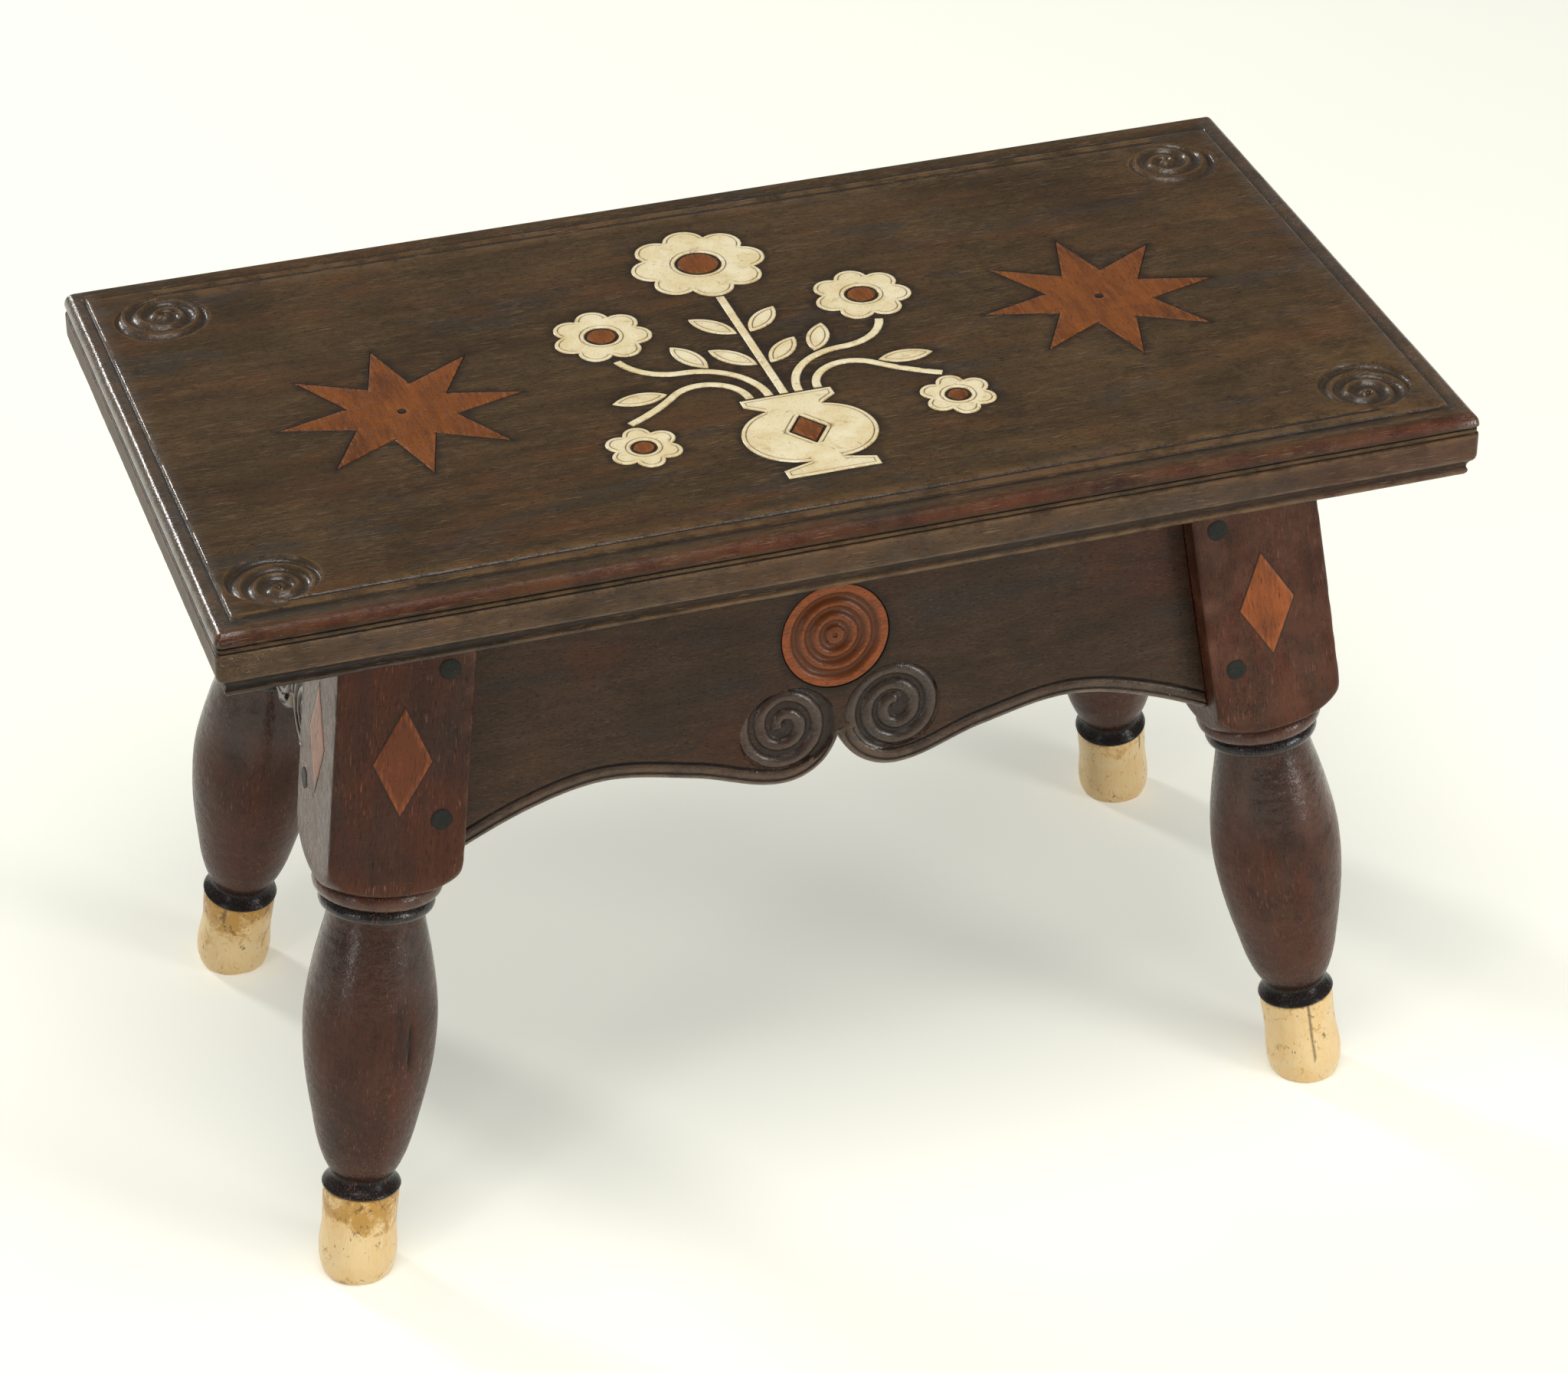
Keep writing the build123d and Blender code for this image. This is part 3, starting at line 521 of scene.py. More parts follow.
apron_wood = dark_wood(
    "apron_wood_polished",
    ((0.028, 0.0155, 0.0085), (0.050, 0.0275, 0.0150), (0.083, 0.046, 0.025)),
    (0.150, 0.085, 0.045), (0.20, 1.0, 1.0), 0.40,
    ((0.085, 0.030, 0.014), (0.030, 0.027, 0.024)),
    specks=0.35, scratch=0.2, dashes=0.35, lumps=1.0,
)
peg_wood = dark_wood(
    "peg_wood_ebonised",
    ((0.010, 0.012, 0.010), (0.017, 0.019, 0.016), (0.030, 0.030, 0.024)),
    (0.08, 0.07, 0.045), (1.0, 1.0, 1.0), 0.50,
    ((0.035, 0.028, 0.018), (0.016, 0.019, 0.018)),
    specks=0.5, scratch=0.0,
)
star_wood = red_wood("star_wood", (0.255, 0.074, 0.010), (0.105, 0.029, 0.005), (1.0, 0.12, 1.0))
diamond_wood = red_wood(
    "diamond_wood", (0.37, 0.092, 0.014), (0.14, 0.031, 0.005), (1.0, 1.0, 0.12)
)
roundel_wood = red_wood(
    "roundel_wood", (0.35, 0.078, 0.012), (0.18, 0.046, 0.008), (0.3, 1.0, 1.0), 0.34, 0.15
)
inlay_bone = bone(
    "inlay_bone", (0.90, 0.80, 0.54), (0.78, 0.63, 0.34), (0.46, 0.28, 0.08), 0.7, 0.5, 0.6
)
foot_bone = bone(
    "foot_bone", (0.93, 0.70, 0.37), (0.90, 0.60, 0.26), (0.54, 0.27, 0.030), 0.9, 0.9, 0.9
)


# Board: carved top, moulded edge and underside

# The four corner spirals: middle and size
spiral_places = {
    (-1, -1): (-164.3, -80.4, 1.0),
    (1, -1): (161.4, -77.8, 1.04),
    (-1, 1): (-161.5, 79.2, 1.05),
    (1, 1): (161.3, 76.4, 1.05),
}
# Crest of the spiral: its radius for each whole angle wound inwards
crest_angles = np.radians((0, 30, 60, 90, 180, 270, 360, 450, 540, 630, 720, 790, 850))
crest_radii = np.array((9.7, 10.8, 11.6, 11.5, 10.4, 9.3, 8.2, 7.2, 6.0, 4.8, 3.5, 2.4, 0.4))
# Wall of the valley outside its first turn, where there is one
wall_angles = np.radians((0, 62, 90, 120, 144, 180, 214, 245, 270, 290, 318, 360))
wall_radii = np.array((9.7, 11.9, 14.6, 16.0, 16.4, 15.4, 14.4, 13.2, 11.9, 10.4, 8.8, 8.4))
spiral_reach = 17.5
# Depths of the sloping end and long edges, and the level of the flat top
end_depth, long_depth, board_sunk = 0.8, 0.95, 0.12
# Widths of the steep walls where these edges end, and the grooves' sizes
end_wall_run, long_wall_run = 0.85, 0.6
groove_depth, groove_half, dip_depth, dip_width = 0.62, 0.95, 0.22, 3.0
crest_half = 0.3


def wall_radius(angle, size):
    wall = np.interp(angle, wall_angles, wall_radii * size)
    return np.maximum(wall, np.interp(angle, crest_angles, crest_radii * size))


def valleys(angle, size, innermost):
    """Outside and inside radius of each valley of a spiral, from the outermost inwards."""
    bounds = [wall_radius(angle, size)]
    for turn in range(3):
        bounds.append(np.interp(angle + full_turn * turn, crest_angles, crest_radii * size))
    bounds.append(np.full(len(angle), innermost))
    return list(enumerate(zip(bounds, bounds[1:])))


def spiral_polar(x, y, side_x, side_y):
    """Radius and angle round a corner spiral, the angle wound from the near long edge."""
    centre_x, centre_y, size = spiral_places[side_x, side_y]
    dx = -(x - centre_x) * side_x
    dy = -(y - centre_y) * side_y
    return np.hypot(dx, dy), np.arctan2(-dx, -dy) % full_turn, size


def spiral_points(side_x, side_y, radius, angle):
    """Places on the board at radii and angles round a corner spiral."""
    centre_x, centre_y, _ = spiral_places[side_x, side_y]
    x = centre_x + radius * np.sin(angle) * side_x
    return np.stack((x, centre_y + radius * np.cos(angle) * side_y), 1)


def long_edge_lines(x, side_y):
    """Insets on a long edge: of its outer wall and of its inner groove."""
    share = (x / board_half_length + 1) / 2
    if side_y < 0:
        return 9.3 + 0 * x, 13.7 + 0 * x
    return 7.6 + 2.2 * share, 10.9 + 2.8 * share


def end_wall(y, side_x):
    """Inset of the steep wall of the end groove."""
    if side_x < 0:
        return 5.5 + 1.0 * (board_half_depth - y) / (2 * board_half_depth)
    return 6.4 + 0 * y


def top_height(x, y):
    """Height of the carved top from the board's top, with its wear and grime."""
    z, wear, grime = np.zeros((3, len(x)))
    inset_x = board_half_length - np.abs(x)
    inset_y = board_half_depth - np.abs(y)
    wall_x = np.where(x < 0, end_wall(y, -1), end_wall(y, 1))
    wall_y, groove_y = (
        np.where(y < 0, front, back)
        for front, back in zip(long_edge_lines(x, -1), long_edge_lines(x, 1))
    )
    start_y = top_bead + 0.6
    slope_x = np.clip((inset_x - top_bead) / (wall_x - top_bead), 0, 1)
    slope_y = np.clip((inset_y - start_y) / (wall_y - start_y), 0, 1)
    slope_x, slope_y = -end_depth * slope_x**1.5, -long_depth * slope_y**1.4
    in_x, in_y = inset_x <= wall_x, inset_y <= wall_y
    z = np.where(in_x & in_y, np.maximum(slope_x, slope_y), z)
    z = np.where(in_x & ~in_y, slope_x, z)
    z = np.where(~in_x & in_y, slope_y, z)
    rise_x = (inset_x - wall_x) / end_wall_run
    rise_y = (inset_y - wall_y) / long_wall_run
    rim = np.minimum(
        np.where(rise_x > 0, -end_depth * (1 - np.clip(rise_x, 0, 1)), 0),
        np.where(rise_y > 0, -long_depth * fade(0, 1, rise_y), 0),
    )
    z = np.where(~in_x & ~in_y, rim, z)
    grime = np.maximum(grime, np.where(z < -0.25, smooth_step(-0.25, -0.75, z) * 0.8, 0))
    near_wall = np.minimum(np.abs(rise_x - 1.2) / 0.6, np.abs(rise_y - 1.2) / 1.0)
    wear = np.maximum(wear, fade(0, 1, near_wall) * (~in_x & ~in_y))
    # Inner groove of the long edges, between the two spirals
    left, right = (
        np.where(y < 0, spiral_places[side, -1][0], spiral_places[side, 1][0])
        for side in (-1, 1)
    )
    between = (x > left) & (x < right)
    inward = inset_y - groove_y
    line = -groove_depth * np.clip(1 - (np.abs(inward) / groove_half) ** 2, 0, 1)
    dip = -dip_depth * np.clip((inward + dip_width) / dip_width, 0, 1)
    line = np.minimum(line, dip * (inward < 0))
    z = np.where(between, np.minimum(z, line), z)
    grime = np.where(between, np.maximum(grime, smooth_step(-0.2, -0.55, line) * 0.9), grime)
    for place, amount in ((1.2, 0.6), (-1.3, 0.8), (-2.7, 0.9)):
        crest = amount * fade(0.1, 0.8, np.abs(inward - place))
        wear = np.where(between, np.maximum(wear, crest), wear)
    # Spirals: valleys between the turns of a worn crest, and a wide one outside the first
    for sides in spiral_places:
        radius, angle, size = spiral_polar(x, y, *sides)
        near = radius < spiral_reach * size
        for turn, (outside, inside) in valleys(angle, size, -1.0):
            outside = outside - (crest_half if turn else 0)
            inside = inside + crest_half
            width = outside - inside
            share = (radius - inside) / np.maximum(width, 0.05)
            in_valley = near & (width > 0.15) & (share > 0) & (share < 1)
            depth = np.clip(0.36 * width, 0.1, 1.5) * (1.0 if turn else 1.1)
            # Steep on its outside, longer on its inside
            skew = np.clip(share, 0, 1) ** (1.2 if turn else 1.5)
            valley = -depth * (1 - np.abs(2 * skew - 1) ** 2.0) - 0.12 * (turn > 0)
            z = np.where(in_valley, np.minimum(z, valley), z)
            dirt = 0.5 * smooth_step(-0.4, -1.2, valley)
            grime = np.where(in_valley, np.maximum(grime, dirt), grime)
            if turn:
                crest = near & (np.abs(radius - outside - crest_half) <= 0.35) & (width > 0.15)
                z = np.where(crest, np.minimum(z, -0.14), z)
            offset = crest_half if turn else 0.1
            line = (0.6 if turn else 0.5) * fade(0.15, 0.8, np.abs(radius - outside - offset))
            wear = np.where(near & (width > 0.4), np.maximum(wear, line), wear)
    points = np.stack((x, y), 1)
    z = z + 0.07 * ripple(points, 34, 3) + 0.025 * ripple(points, 7, 4)
    return z, wear, grime


def loop_normals(loop):
    """Outward normals of a closed loop that runs counter-clockwise, scaled for mitres."""
    normals = []
    for edge in (loop - np.roll(loop, 1, 0), np.roll(loop, -1, 0) - loop):
        length = np.maximum(np.linalg.norm(edge, axis=1), 1e-9)[:, None]
        normals.append(np.stack((edge[:, 1], -edge[:, 0]), 1) / length)
    total = normals[0] + normals[1]
    total /= np.maximum(np.linalg.norm(total, axis=1), 1e-9)[:, None]
    stretch = np.clip((total * normals[0]).sum(1), 0.45, 1)[:, None]
    return total / stretch


def signed_area(loop):
    after = np.roll(loop, -1, 0)
    return (loop[:, 0] * after[:, 1] - after[:, 0] * loop[:, 1]).sum() / 2


def divide(loop, spacing, closed=True):
    """Line with its long edges divided; its own corners stay."""
    points = []
    for start, end in zip(loop, np.roll(loop, -1, 0) if closed else loop[1:]):
        parts = max(1, int(round(np.linalg.norm(end - start) / spacing)))
        points += [start + (end - start) * part / parts for part in range(parts)]
    return np.array(points if closed else points + [loop[-1]])


def node_outlines(node, height):
    """Closed outlines of a CAD node's flat faces at a height, outer loops counter-clockwise."""
    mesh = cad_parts[node].data
    points = np.array([v.co for v in mesh.vertices]) / MM
    keys = {}
    index_of = [keys.setdefault(tuple(np.round(p, 3)), len(keys)) for p in points]
    place = {key: np.array(point) for point, key in keys.items()}
    edges = {}
    for polygon in mesh.polygons:
        ring = [index_of[i] for i in polygon.vertices]
        if all(abs(place[i][2] - height) < 0.02 for i in ring):
            edges.update({(a, b): None for a, b in zip(ring, ring[1:] + ring[:1]) if a != b})
    border = {a: b for (a, b) in edges if (b, a) not in edges}
    loops = []
    while border:
        start, follow = border.popitem()
        chain = [start]
        while follow != start and follow in border:
            chain.append(follow)
            follow = border.pop(follow)
        loops.append(np.array([place[i][:2] for i in chain]))
    return loops


def inside_loops(points, loops):
    """Which points lie inside closed loops, holes left out."""
    x, y = points[:, 0], points[:, 1]
    inside = np.zeros(len(points), bool)
    for loop in loops:
        for (x0, y0), (x1, y1) in zip(loop, np.roll(loop, -1, 0)):
            if y0 != y1:
                crossing = (y0 > y) != (y1 > y)
                inside ^= crossing & (x < (x1 - x0) * (y - y0) / (y1 - y0) + x0)
    return inside


def loop_distance(points, loops):
    """Distance of each point from the nearest edge of any loop."""
    best = np.full(len(points), 1e9)
    for loop in loops:
        for start, end in zip(loop, np.roll(loop, -1, 0)):
            edge = end - start
            share = np.clip(((points - start) @ edge) / max(edge @ edge, 1e-12), 0, 1)
            gap = points - start - share[:, None] * edge
            best = np.minimum(best, np.hypot(gap[:, 0], gap[:, 1]))
    return best


def triangulate(points, loops, outline):
    """Triangles over scattered points and loops, those inside the outline's loops."""
    points = [Vector(p) for p in points]
    edges = []
    for loop in loops:
        first = len(points)
        points += [Vector(p) for p in loop]
        edges += [(first + i, first + (i + 1) % len(loop)) for i in range(len(loop))]
    flat, _, faces, *_ = delaunay_2d_cdt(points, edges, [], 0, 1e-4)
    flat, faces = np.array([tuple(p) for p in flat]), np.array([tuple(f) for f in faces])
    if outline:
        faces = faces[inside_loops(flat[faces].mean(1), outline)]
    return flat, faces


inlay_nodes = [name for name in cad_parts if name.startswith(("inlay_", "star_l", "star_r"))]
outlines = {name: node_outlines(name, board_top) for name in inlay_nodes}
# Stars' distance from the middle, and reaches that hold a star or the middle inlay
star_place, star_reach, inlay_reach = 108.7, 40, 92


def edge_ring(inset, corner):
    """Points round the board at an inset, corners rounded, the same number for each ring."""
    half = np.array((board_half_length - inset, board_half_depth - inset))
    corner = max(corner, 0.25)
    arc = np.linspace(0, pi / 2, 7)[1:-1]
    points = []
    for k, sides in enumerate(((1, -1), (1, 1), (-1, 1), (-1, -1))):
        middle = (half - corner) * sides
        along = np.linspace(-1, 1, (232, 128)[k % 2])
        straight = np.tile(half * sides, (len(along), 1))
        straight[:, k % 2] = along * middle[k % 2]
        points += [straight, middle + corner * circle_points((k - 1) * pi / 2 + arc)]
    return np.concatenate(points)


# The moulded edge from the top inwards of the bead to the underside:
# inset, height from the board's top, wear, grime, redness
edge_section = [
    (top_bead * (1 - sin(a)), -top_bead * (1 - cos(a)), w, g, r)
    for a, w, g, r in (
        (0.0, 0.1, 0.0, 0.1),
        (0.22, 0.1, 0.0, 0.35),
        (0.45, 0.15, 0.0, 0.7),
        (0.65, 0.2, 0.0, 0.9),
        (0.85, 0.2, 0.0, 1.0),
        (1.05, 0.2, 0.0, 1.0),
        (1.25, 0.15, 0.1, 0.9),
        (1.42, 0.2, 0.2, 0.6),
        (1.54, 0.1, 0.5, 0.3),
    )
] + [
    (0.35, -3.95, 0.0, 0.8, 0.0),
    (0.95, -4.08, 0.0, 1.0, 0.0),
    (1.0, -4.55, 0.0, 1.0, 0.0),
    (0.72, -4.7, 0.4, 0.5, 0.0),
    (0.62, -4.9, 0.8, 0.1, 0.0),
    (0.6, -5.35, 0.6, 0.0, 0.1),
    (0.64, -5.75, 0.8, 0.1, 0.0),
    (0.95, -6.02, 0.0, 1.0, 0.0),
    (0.85, -6.2, 0.0, 1.0, 0.0),
    (0.35, -6.35, 0.6, 0.2, 0.0),
    (0.05, -6.7, 0.8, 0.0, 0.0),
    (0.0, -7.6, 0.25, 0.0, 0.0),
    (0.0, -9.2, 0.1, 0.0, 0.0),
    (0.0, -11.0, 0.1, 0.0, 0.0),
    (0.0, -12.8, 0.15, 0.0, 0.0),
    (0.04, -14.0, 0.3, 0.0, 0.0),
    (0.3, -14.8, 0.7, 0.0, 0.0),
    (0.8, -15.35, 0.3, 0.4, 0.0),
    (1.5, -15.85, 0.0, 0.6, 0.0),
    (2.15, -16.5, 0.0, 0.6, 0.0),
    (2.6, -17.4, 0.0, 0.6, 0.0),
    (2.7, -18.3, 0.0, 0.7, 0.0),
    (2.45, -18.8, 0.4, 0.3, 0.0),
    (2.22, -19.3, 0.9, 0.0, 0.0),
    (2.4, -20.1, 0.9, 0.0, 0.0),
    (2.95, -20.85, 0.7, 0.0, 0.0),
    (3.8, -21.32, 0.3, 0.2, 0.0),
    (4.8, -21.5, 0.0, 0.4, 0.0),
]


def dense_points():
    """Scattered points of the top: rows along the edges, spirals, and a loose field."""
    bead_rows = (0.6, 1.4, 2.4)
    wall_rows = (-1.6, -0.7, -0.2, 0.12, 0.3, 0.48, 0.7, 1.1)
    groove_rows = (-2.6, -2.2, -1.6, -1.0, -0.5, -0.1, 0.15, 0.35, 0.55, 0.85, 1.3)
    end_rows = (-1.4, -0.7, -0.3, -0.1, 0.05, 0.3, 0.55, 0.8, 1.0, 1.5)
    reach_x, reach_y = 177, 94
    rows = []
    for side in (-1, 1):
        x = np.linspace(-reach_x, reach_x, 270)
        wall, groove = long_edge_lines(x, side)
        bead = top_bead + 0 * x
        for start, steps in ((bead, bead_rows), (wall, wall_rows), (groove, groove_rows)):
            for step in steps:
                rows.append(np.stack((x, side * (board_half_depth - (start + step))), 1))
        y = np.linspace(-reach_y, reach_y, 150)
        for step in end_rows:
            x = side * (board_half_length - end_wall(y, side) - step)
            rows.append(np.stack((x, y), 1))
    rows = np.concatenate(rows)
    shares = (0.07, 0.16, 0.28, 0.42, 0.56, 0.68, 0.78, 0.86, 0.92, 0.965, 1.0)
    angle = turns(132)
    count = np.arange(len(angle))
    swirls = []
    for sides, (_, _, size) in spiral_places.items():
        for turn, (outside, inside) in valleys(angle, size, 0.1):
            for index, share in enumerate(shares):
                use = (outside - inside) > (0.0 if share == 1.0 else 0.8)
                # Fewer points on the small turns near the middle
                if turn >= 2:
                    use &= count % 2 == 0
                if turn == 3:
                    use &= (index % 2 == 0) & (count % 4 == 0)
                radius = inside + (outside - inside) * share
                swirls.append(spiral_points(*sides, radius[use], angle[use]))
        for extra in (0.35, 0.8):
            swirls.append(spiral_points(*sides, wall_radius(angle, size) + extra, angle))
    swirls = np.concatenate(swirls)
    insets = (board_half_length, board_half_depth) - np.abs(swirls)
    swirls = swirls[(insets > (7.2, 10.1)).all(1)]
    field = grid_points((-178, -87), (178.1, 87.1), 3.0)
    field += 0.4 * np.stack((ripple(field, 5, 1), ripple(field, 5, 2)), 1)
    clear = np.ones(len(rows), bool)
    clear_field = np.abs(field[:, 1]) < 86
    for sides, (_, _, size) in spiral_places.items():
        radius, angle, _ = spiral_polar(*rows.T, *sides)
        clear &= radius > wall_radius(angle, size) + 0.2
        clear_field &= spiral_polar(*field.T, *sides)[0] > 17.2 * size
    return np.concatenate((rows[clear], swirls, field[clear_field]))


def near_inlay(points):
    """Which points may lie by a let-in piece."""
    middle = np.hypot(points[:, 0] * 0.9, points[:, 1]) < inlay_reach
    star = np.hypot(np.abs(points[:, 0]) - star_place, points[:, 1]) < star_reach
    return np.where(middle | star)[0]


def depth_inside(points, loops):
    """Distance into closed loops, negative outside them."""
    return np.where(inside_loops(points, loops), 1, -1) * loop_distance(points, loops)


def carved_top():
    """The top with its grooves, spirals and pockets, as a part."""
    pocket_depth = 0.7
    seams = [divide(loop, 4.0) for name in inlay_nodes for loop in outlines[name]]
    loops = [edge_ring(top_bead, 0.3)]
    for seam in seams:
        loops += [seam + loop_normals(seam) * 0.2, seam - loop_normals(seam) * 0.25]
    points = dense_points()
    clear = np.ones(len(points), bool)
    near = near_inlay(points)
    clear[near] = depth_inside(points[near], seams) < -0.8
    flat, faces = triangulate(points[clear], loops, None)
    x, y = flat.T
    z, wear, grime = top_height(x, y)
    near = near_inlay(flat)
    into = depth_inside(flat[near], seams)
    in_pocket = into > 0.05
    grime[near] = np.maximum(grime[near], 0.8 * fade(0.3, 2.0, np.abs(into)))
    z[near] += -0.10 * fade(0.2, 3.0, np.abs(into))
    z[near] = np.where(in_pocket, -pocket_depth, z[near])
    grime[near] = np.where(in_pocket, 1.0, grime[near])
    z = np.minimum(z, 0.0)
    end_near = board_half_length - np.abs(x)
    edge_near = np.minimum(end_near, board_half_depth - np.abs(y))
    sleek = np.maximum(fade(7.0, 9.5, end_near), 0.6 * smooth_step(-0.2, -0.5, z))
    sleek = np.maximum(sleek, 0.3 * fade(4.0, 7.0, edge_near))
    # Lighter towards the right and the front right: painted light, laid on with the worn colour
    painted_light_right = 0.22 * smooth_step(-60, 170, x) * smooth_step(-0.3, 0.9, ripple(flat, 70, 5))
    painted_light_right = painted_light_right + 0.28 * smooth_step(60, 170, x) * smooth_step(20, -70, y)
    wear = np.maximum(wear, painted_light_right * (z > -0.2))
    red = 0.12 * smooth_step(0.2, 1.0, ripple(flat * (0.5, 1.5), 60, 6))
    layers = {"wear": wear, "grime": grime, "red": red, "sleek": sleek}
    return np.column_stack((flat, board_top - board_sunk + z)), faces, layers


def uneven_ring(inset, height):
    """One ring of the moulded edge, slightly uneven: X, Y and Z."""
    corner = min(2.4, max(0.3, 2.4 - inset if height < -1 else 0.3 - height * 1.6))
    points = edge_ring(inset, corner)
    roughness = 0.012 if height > -5 else 0.04
    noise = ripple(points, 40, 11) * 0.06 + ripple(points, 6, 12) * roughness
    inwards = np.clip(noise + 0.12, 0, 0.3)[:, None] * (height < -0.5)
    points = points - loop_normals(points) * inwards
    level = board_top + height + (0.04 * ripple(points, 18, 13) - 0.05) * (-21 < height < -1)
    if height > -0.01:
        level = board_top - board_sunk + np.minimum(top_height(*points.T)[0], 0)
    return *points.T, level + 0 * points[:, 0]


def make_board():
    edge, under = Rows(), Rows()
    for inset, height, wear, grime, red in edge_section:
        x, y, z = uneven_ring(inset, height)
        ring, depth = np.stack((x, y, z), 1), board_top - z
        on_fascia = smooth_step(5.5, 7.5, depth) * fade(14.6, 15.5, depth)
        bead_sleek = fade(3.6, 4.2, depth) * (0.03 + 0.97 * smooth_step(178, 184, np.abs(x)))
        fascia_sleek = 0.18 * on_fascia * smooth_step(-95, -101, y)
        # The bead is red along the front and right, brown elsewhere
        front = smooth_step(-90, -99, y) * (0.8 + 0.3 * ripple(ring, 60, 15))
        right = smooth_step(181, 185, x) * 0.5
        red = red * np.clip(np.maximum(front, right), 0.06, 1)
        warm = 0.16 + 0.5 * smooth_step(60, 180, x) * (0.7 + 0.3 * ripple(ring, 40, 16))
        # Painted shade: dark along the underside of the front's left part
        painted_shade_below = smooth_step(14.8, 16.0, depth) * smooth_step(-40, -150, x)
        edge.add(
            x, y, z, wear=wear, grime=grime,
            red=np.maximum(red, warm * smooth_step(5.5, 7.0, depth)),
            tone=0.75 * painted_shade_below * smooth_step(-80, -95, y),
            scuff=on_fascia * (0.15 + 0.85 * smooth_step(115, 165, np.abs(x))),
            sleek=np.maximum(bead_sleek, fascia_sleek),
        )
    for share in (1, 0.5):
        under.add(x * share, y * share, z, grime=0.3)
    parts = [carved_top(), edge.part(last=False, over=True), under.part(over=True)]
    points, faces, layers = merge(parts)
    add_piece(
        "board_carved", points, faces, board_wood, "board_wood", "top_board",
        welded=True, local=points, **layers,
    )


make_board()


# Inlay in the top

def inlay_piece(node, material, slot, bevel, proud, cut_inset, cut_width, cut_depth):
    """A node's inlay with worn edges and, if asked, a cut line along its outline."""
    drop, wall_depth = 0.28, 1.2
    parts = []
    loops = [divide(loop, 0.9 if cut_inset else 1.6) for loop in outlines[node]]
    holes = [loop for loop in loops if signed_area(loop) < 0]
    for loop in loops:
        if signed_area(loop) < 0:
            continue
        own = [loop] + [hole for hole in holes if inside_loops(hole[:1], [loop])[0]]
        insets = [bevel * 0.4, bevel]
        if cut_inset:
            insets += [cut_inset + cut_width * share for share in (-0.9, -0.5, 0, 0.5, 0.9)]
        scattered = []
        for edge in own:
            for inset in insets:
                candidates = edge - loop_normals(edge) * inset
                scattered.append(candidates[loop_distance(candidates, own) > inset * 0.93])
        field = grid_points(loop.min(0), loop.max(0), 2.0)
        scattered.append(field[loop_distance(field, own) > insets[-1] + 0.6])
        scattered = np.concatenate(scattered)
        flat, faces = triangulate(scattered[inside_loops(scattered, own)], own, own)
        depth = loop_distance(flat, own)
        z = -drop * (1 - np.clip(depth / bevel, 0, 1)) ** 2
        cut = np.zeros(len(flat))
        if cut_inset:
            cut = fade(0.1, 1.0, np.abs(depth - cut_inset) / cut_width)
            z -= cut_depth * cut
        z += 0.03 * (ripple(flat, 9, 21) - 1)
        worn = smooth_step(bevel * 0.7, bevel * 1.2, depth) * fade(bevel * 1.2, bevel * 2.5, depth)
        layers = {"grime": fade(0.0, bevel * 1.3, depth), "cut": cut, "wear": worn}
        parts.append((np.column_stack((flat, board_top - proud + z)), faces, layers))
        for edge in own:
            wall = Rows()
            wall.add(*edge.T, board_top - proud - drop + 0.03 * (ripple(edge, 9, 21) - 1), grime=1)
            wall.add(*edge.T, board_top - wall_depth, grime=1)
            parts.append(wall.part(last=False, over=True))
    points, faces, layers = merge(parts)
    add_piece(
        node + "_set", points, faces, material, slot, node, welded=True, local=points, **layers
    )


for node in inlay_nodes:
    if node in ("inlay_eyes", "inlay_urn_lozenge"):
        inlay_piece(node, star_wood, "red_wood", 0.4, 0.10, 0, 0, 0)
    elif node.startswith("star"):
        inlay_piece(node, star_wood, "red_wood", 0.3, 0.10, 0, 0, 0)
    elif "stem" in node:
        inlay_piece(node, inlay_bone, "bone", 0.35, 0.02, 0, 0, 0)
    else:
        inlay_piece(node, inlay_bone, "bone", 0.4, 0.02, 1.35, 0.34, 0.3)


# Aprons

apron_thickness = 14.0
# For each kind: panel, lean, radius, depth and size of its scrolls
kinds = {
    "long": (front_panel, lean_y, 18.4, 61.9, 1.0),
    "end": (left_panel, lean_x, 14.0, 66.6, 0.76),
}
# Scroll's middle along the apron, as a share of its radius
scroll_spread_share = 0.957
roundel_y, roundel_pocket, roundel_outer = -34.7, 16.75, 16.55
roundel_pocket_depth, roundel_thickness = 1.5, 3.4


def hermite(points, tangents, steps):
    """Smooth curve through points, its tangents given at both ends."""
    points = np.array(points, float)
    chords = np.linalg.norm(np.diff(points, axis=0), axis=1)
    slopes = np.zeros_like(points)
    slopes[0], slopes[-1] = unit(tangents[0]), unit(tangents[1])
    for i in range(1, len(points) - 1):
        slopes[i] = (points[i + 1] - points[i - 1]) / (chords[i] + chords[i - 1])
    t = np.linspace(0, 1, steps, endpoint=False)[:, None]
    spans = zip(chords, points, points[1:], slopes, slopes[1:])
    return np.concatenate([cubic(t, *span) for span in spans] + [points[-1:]])


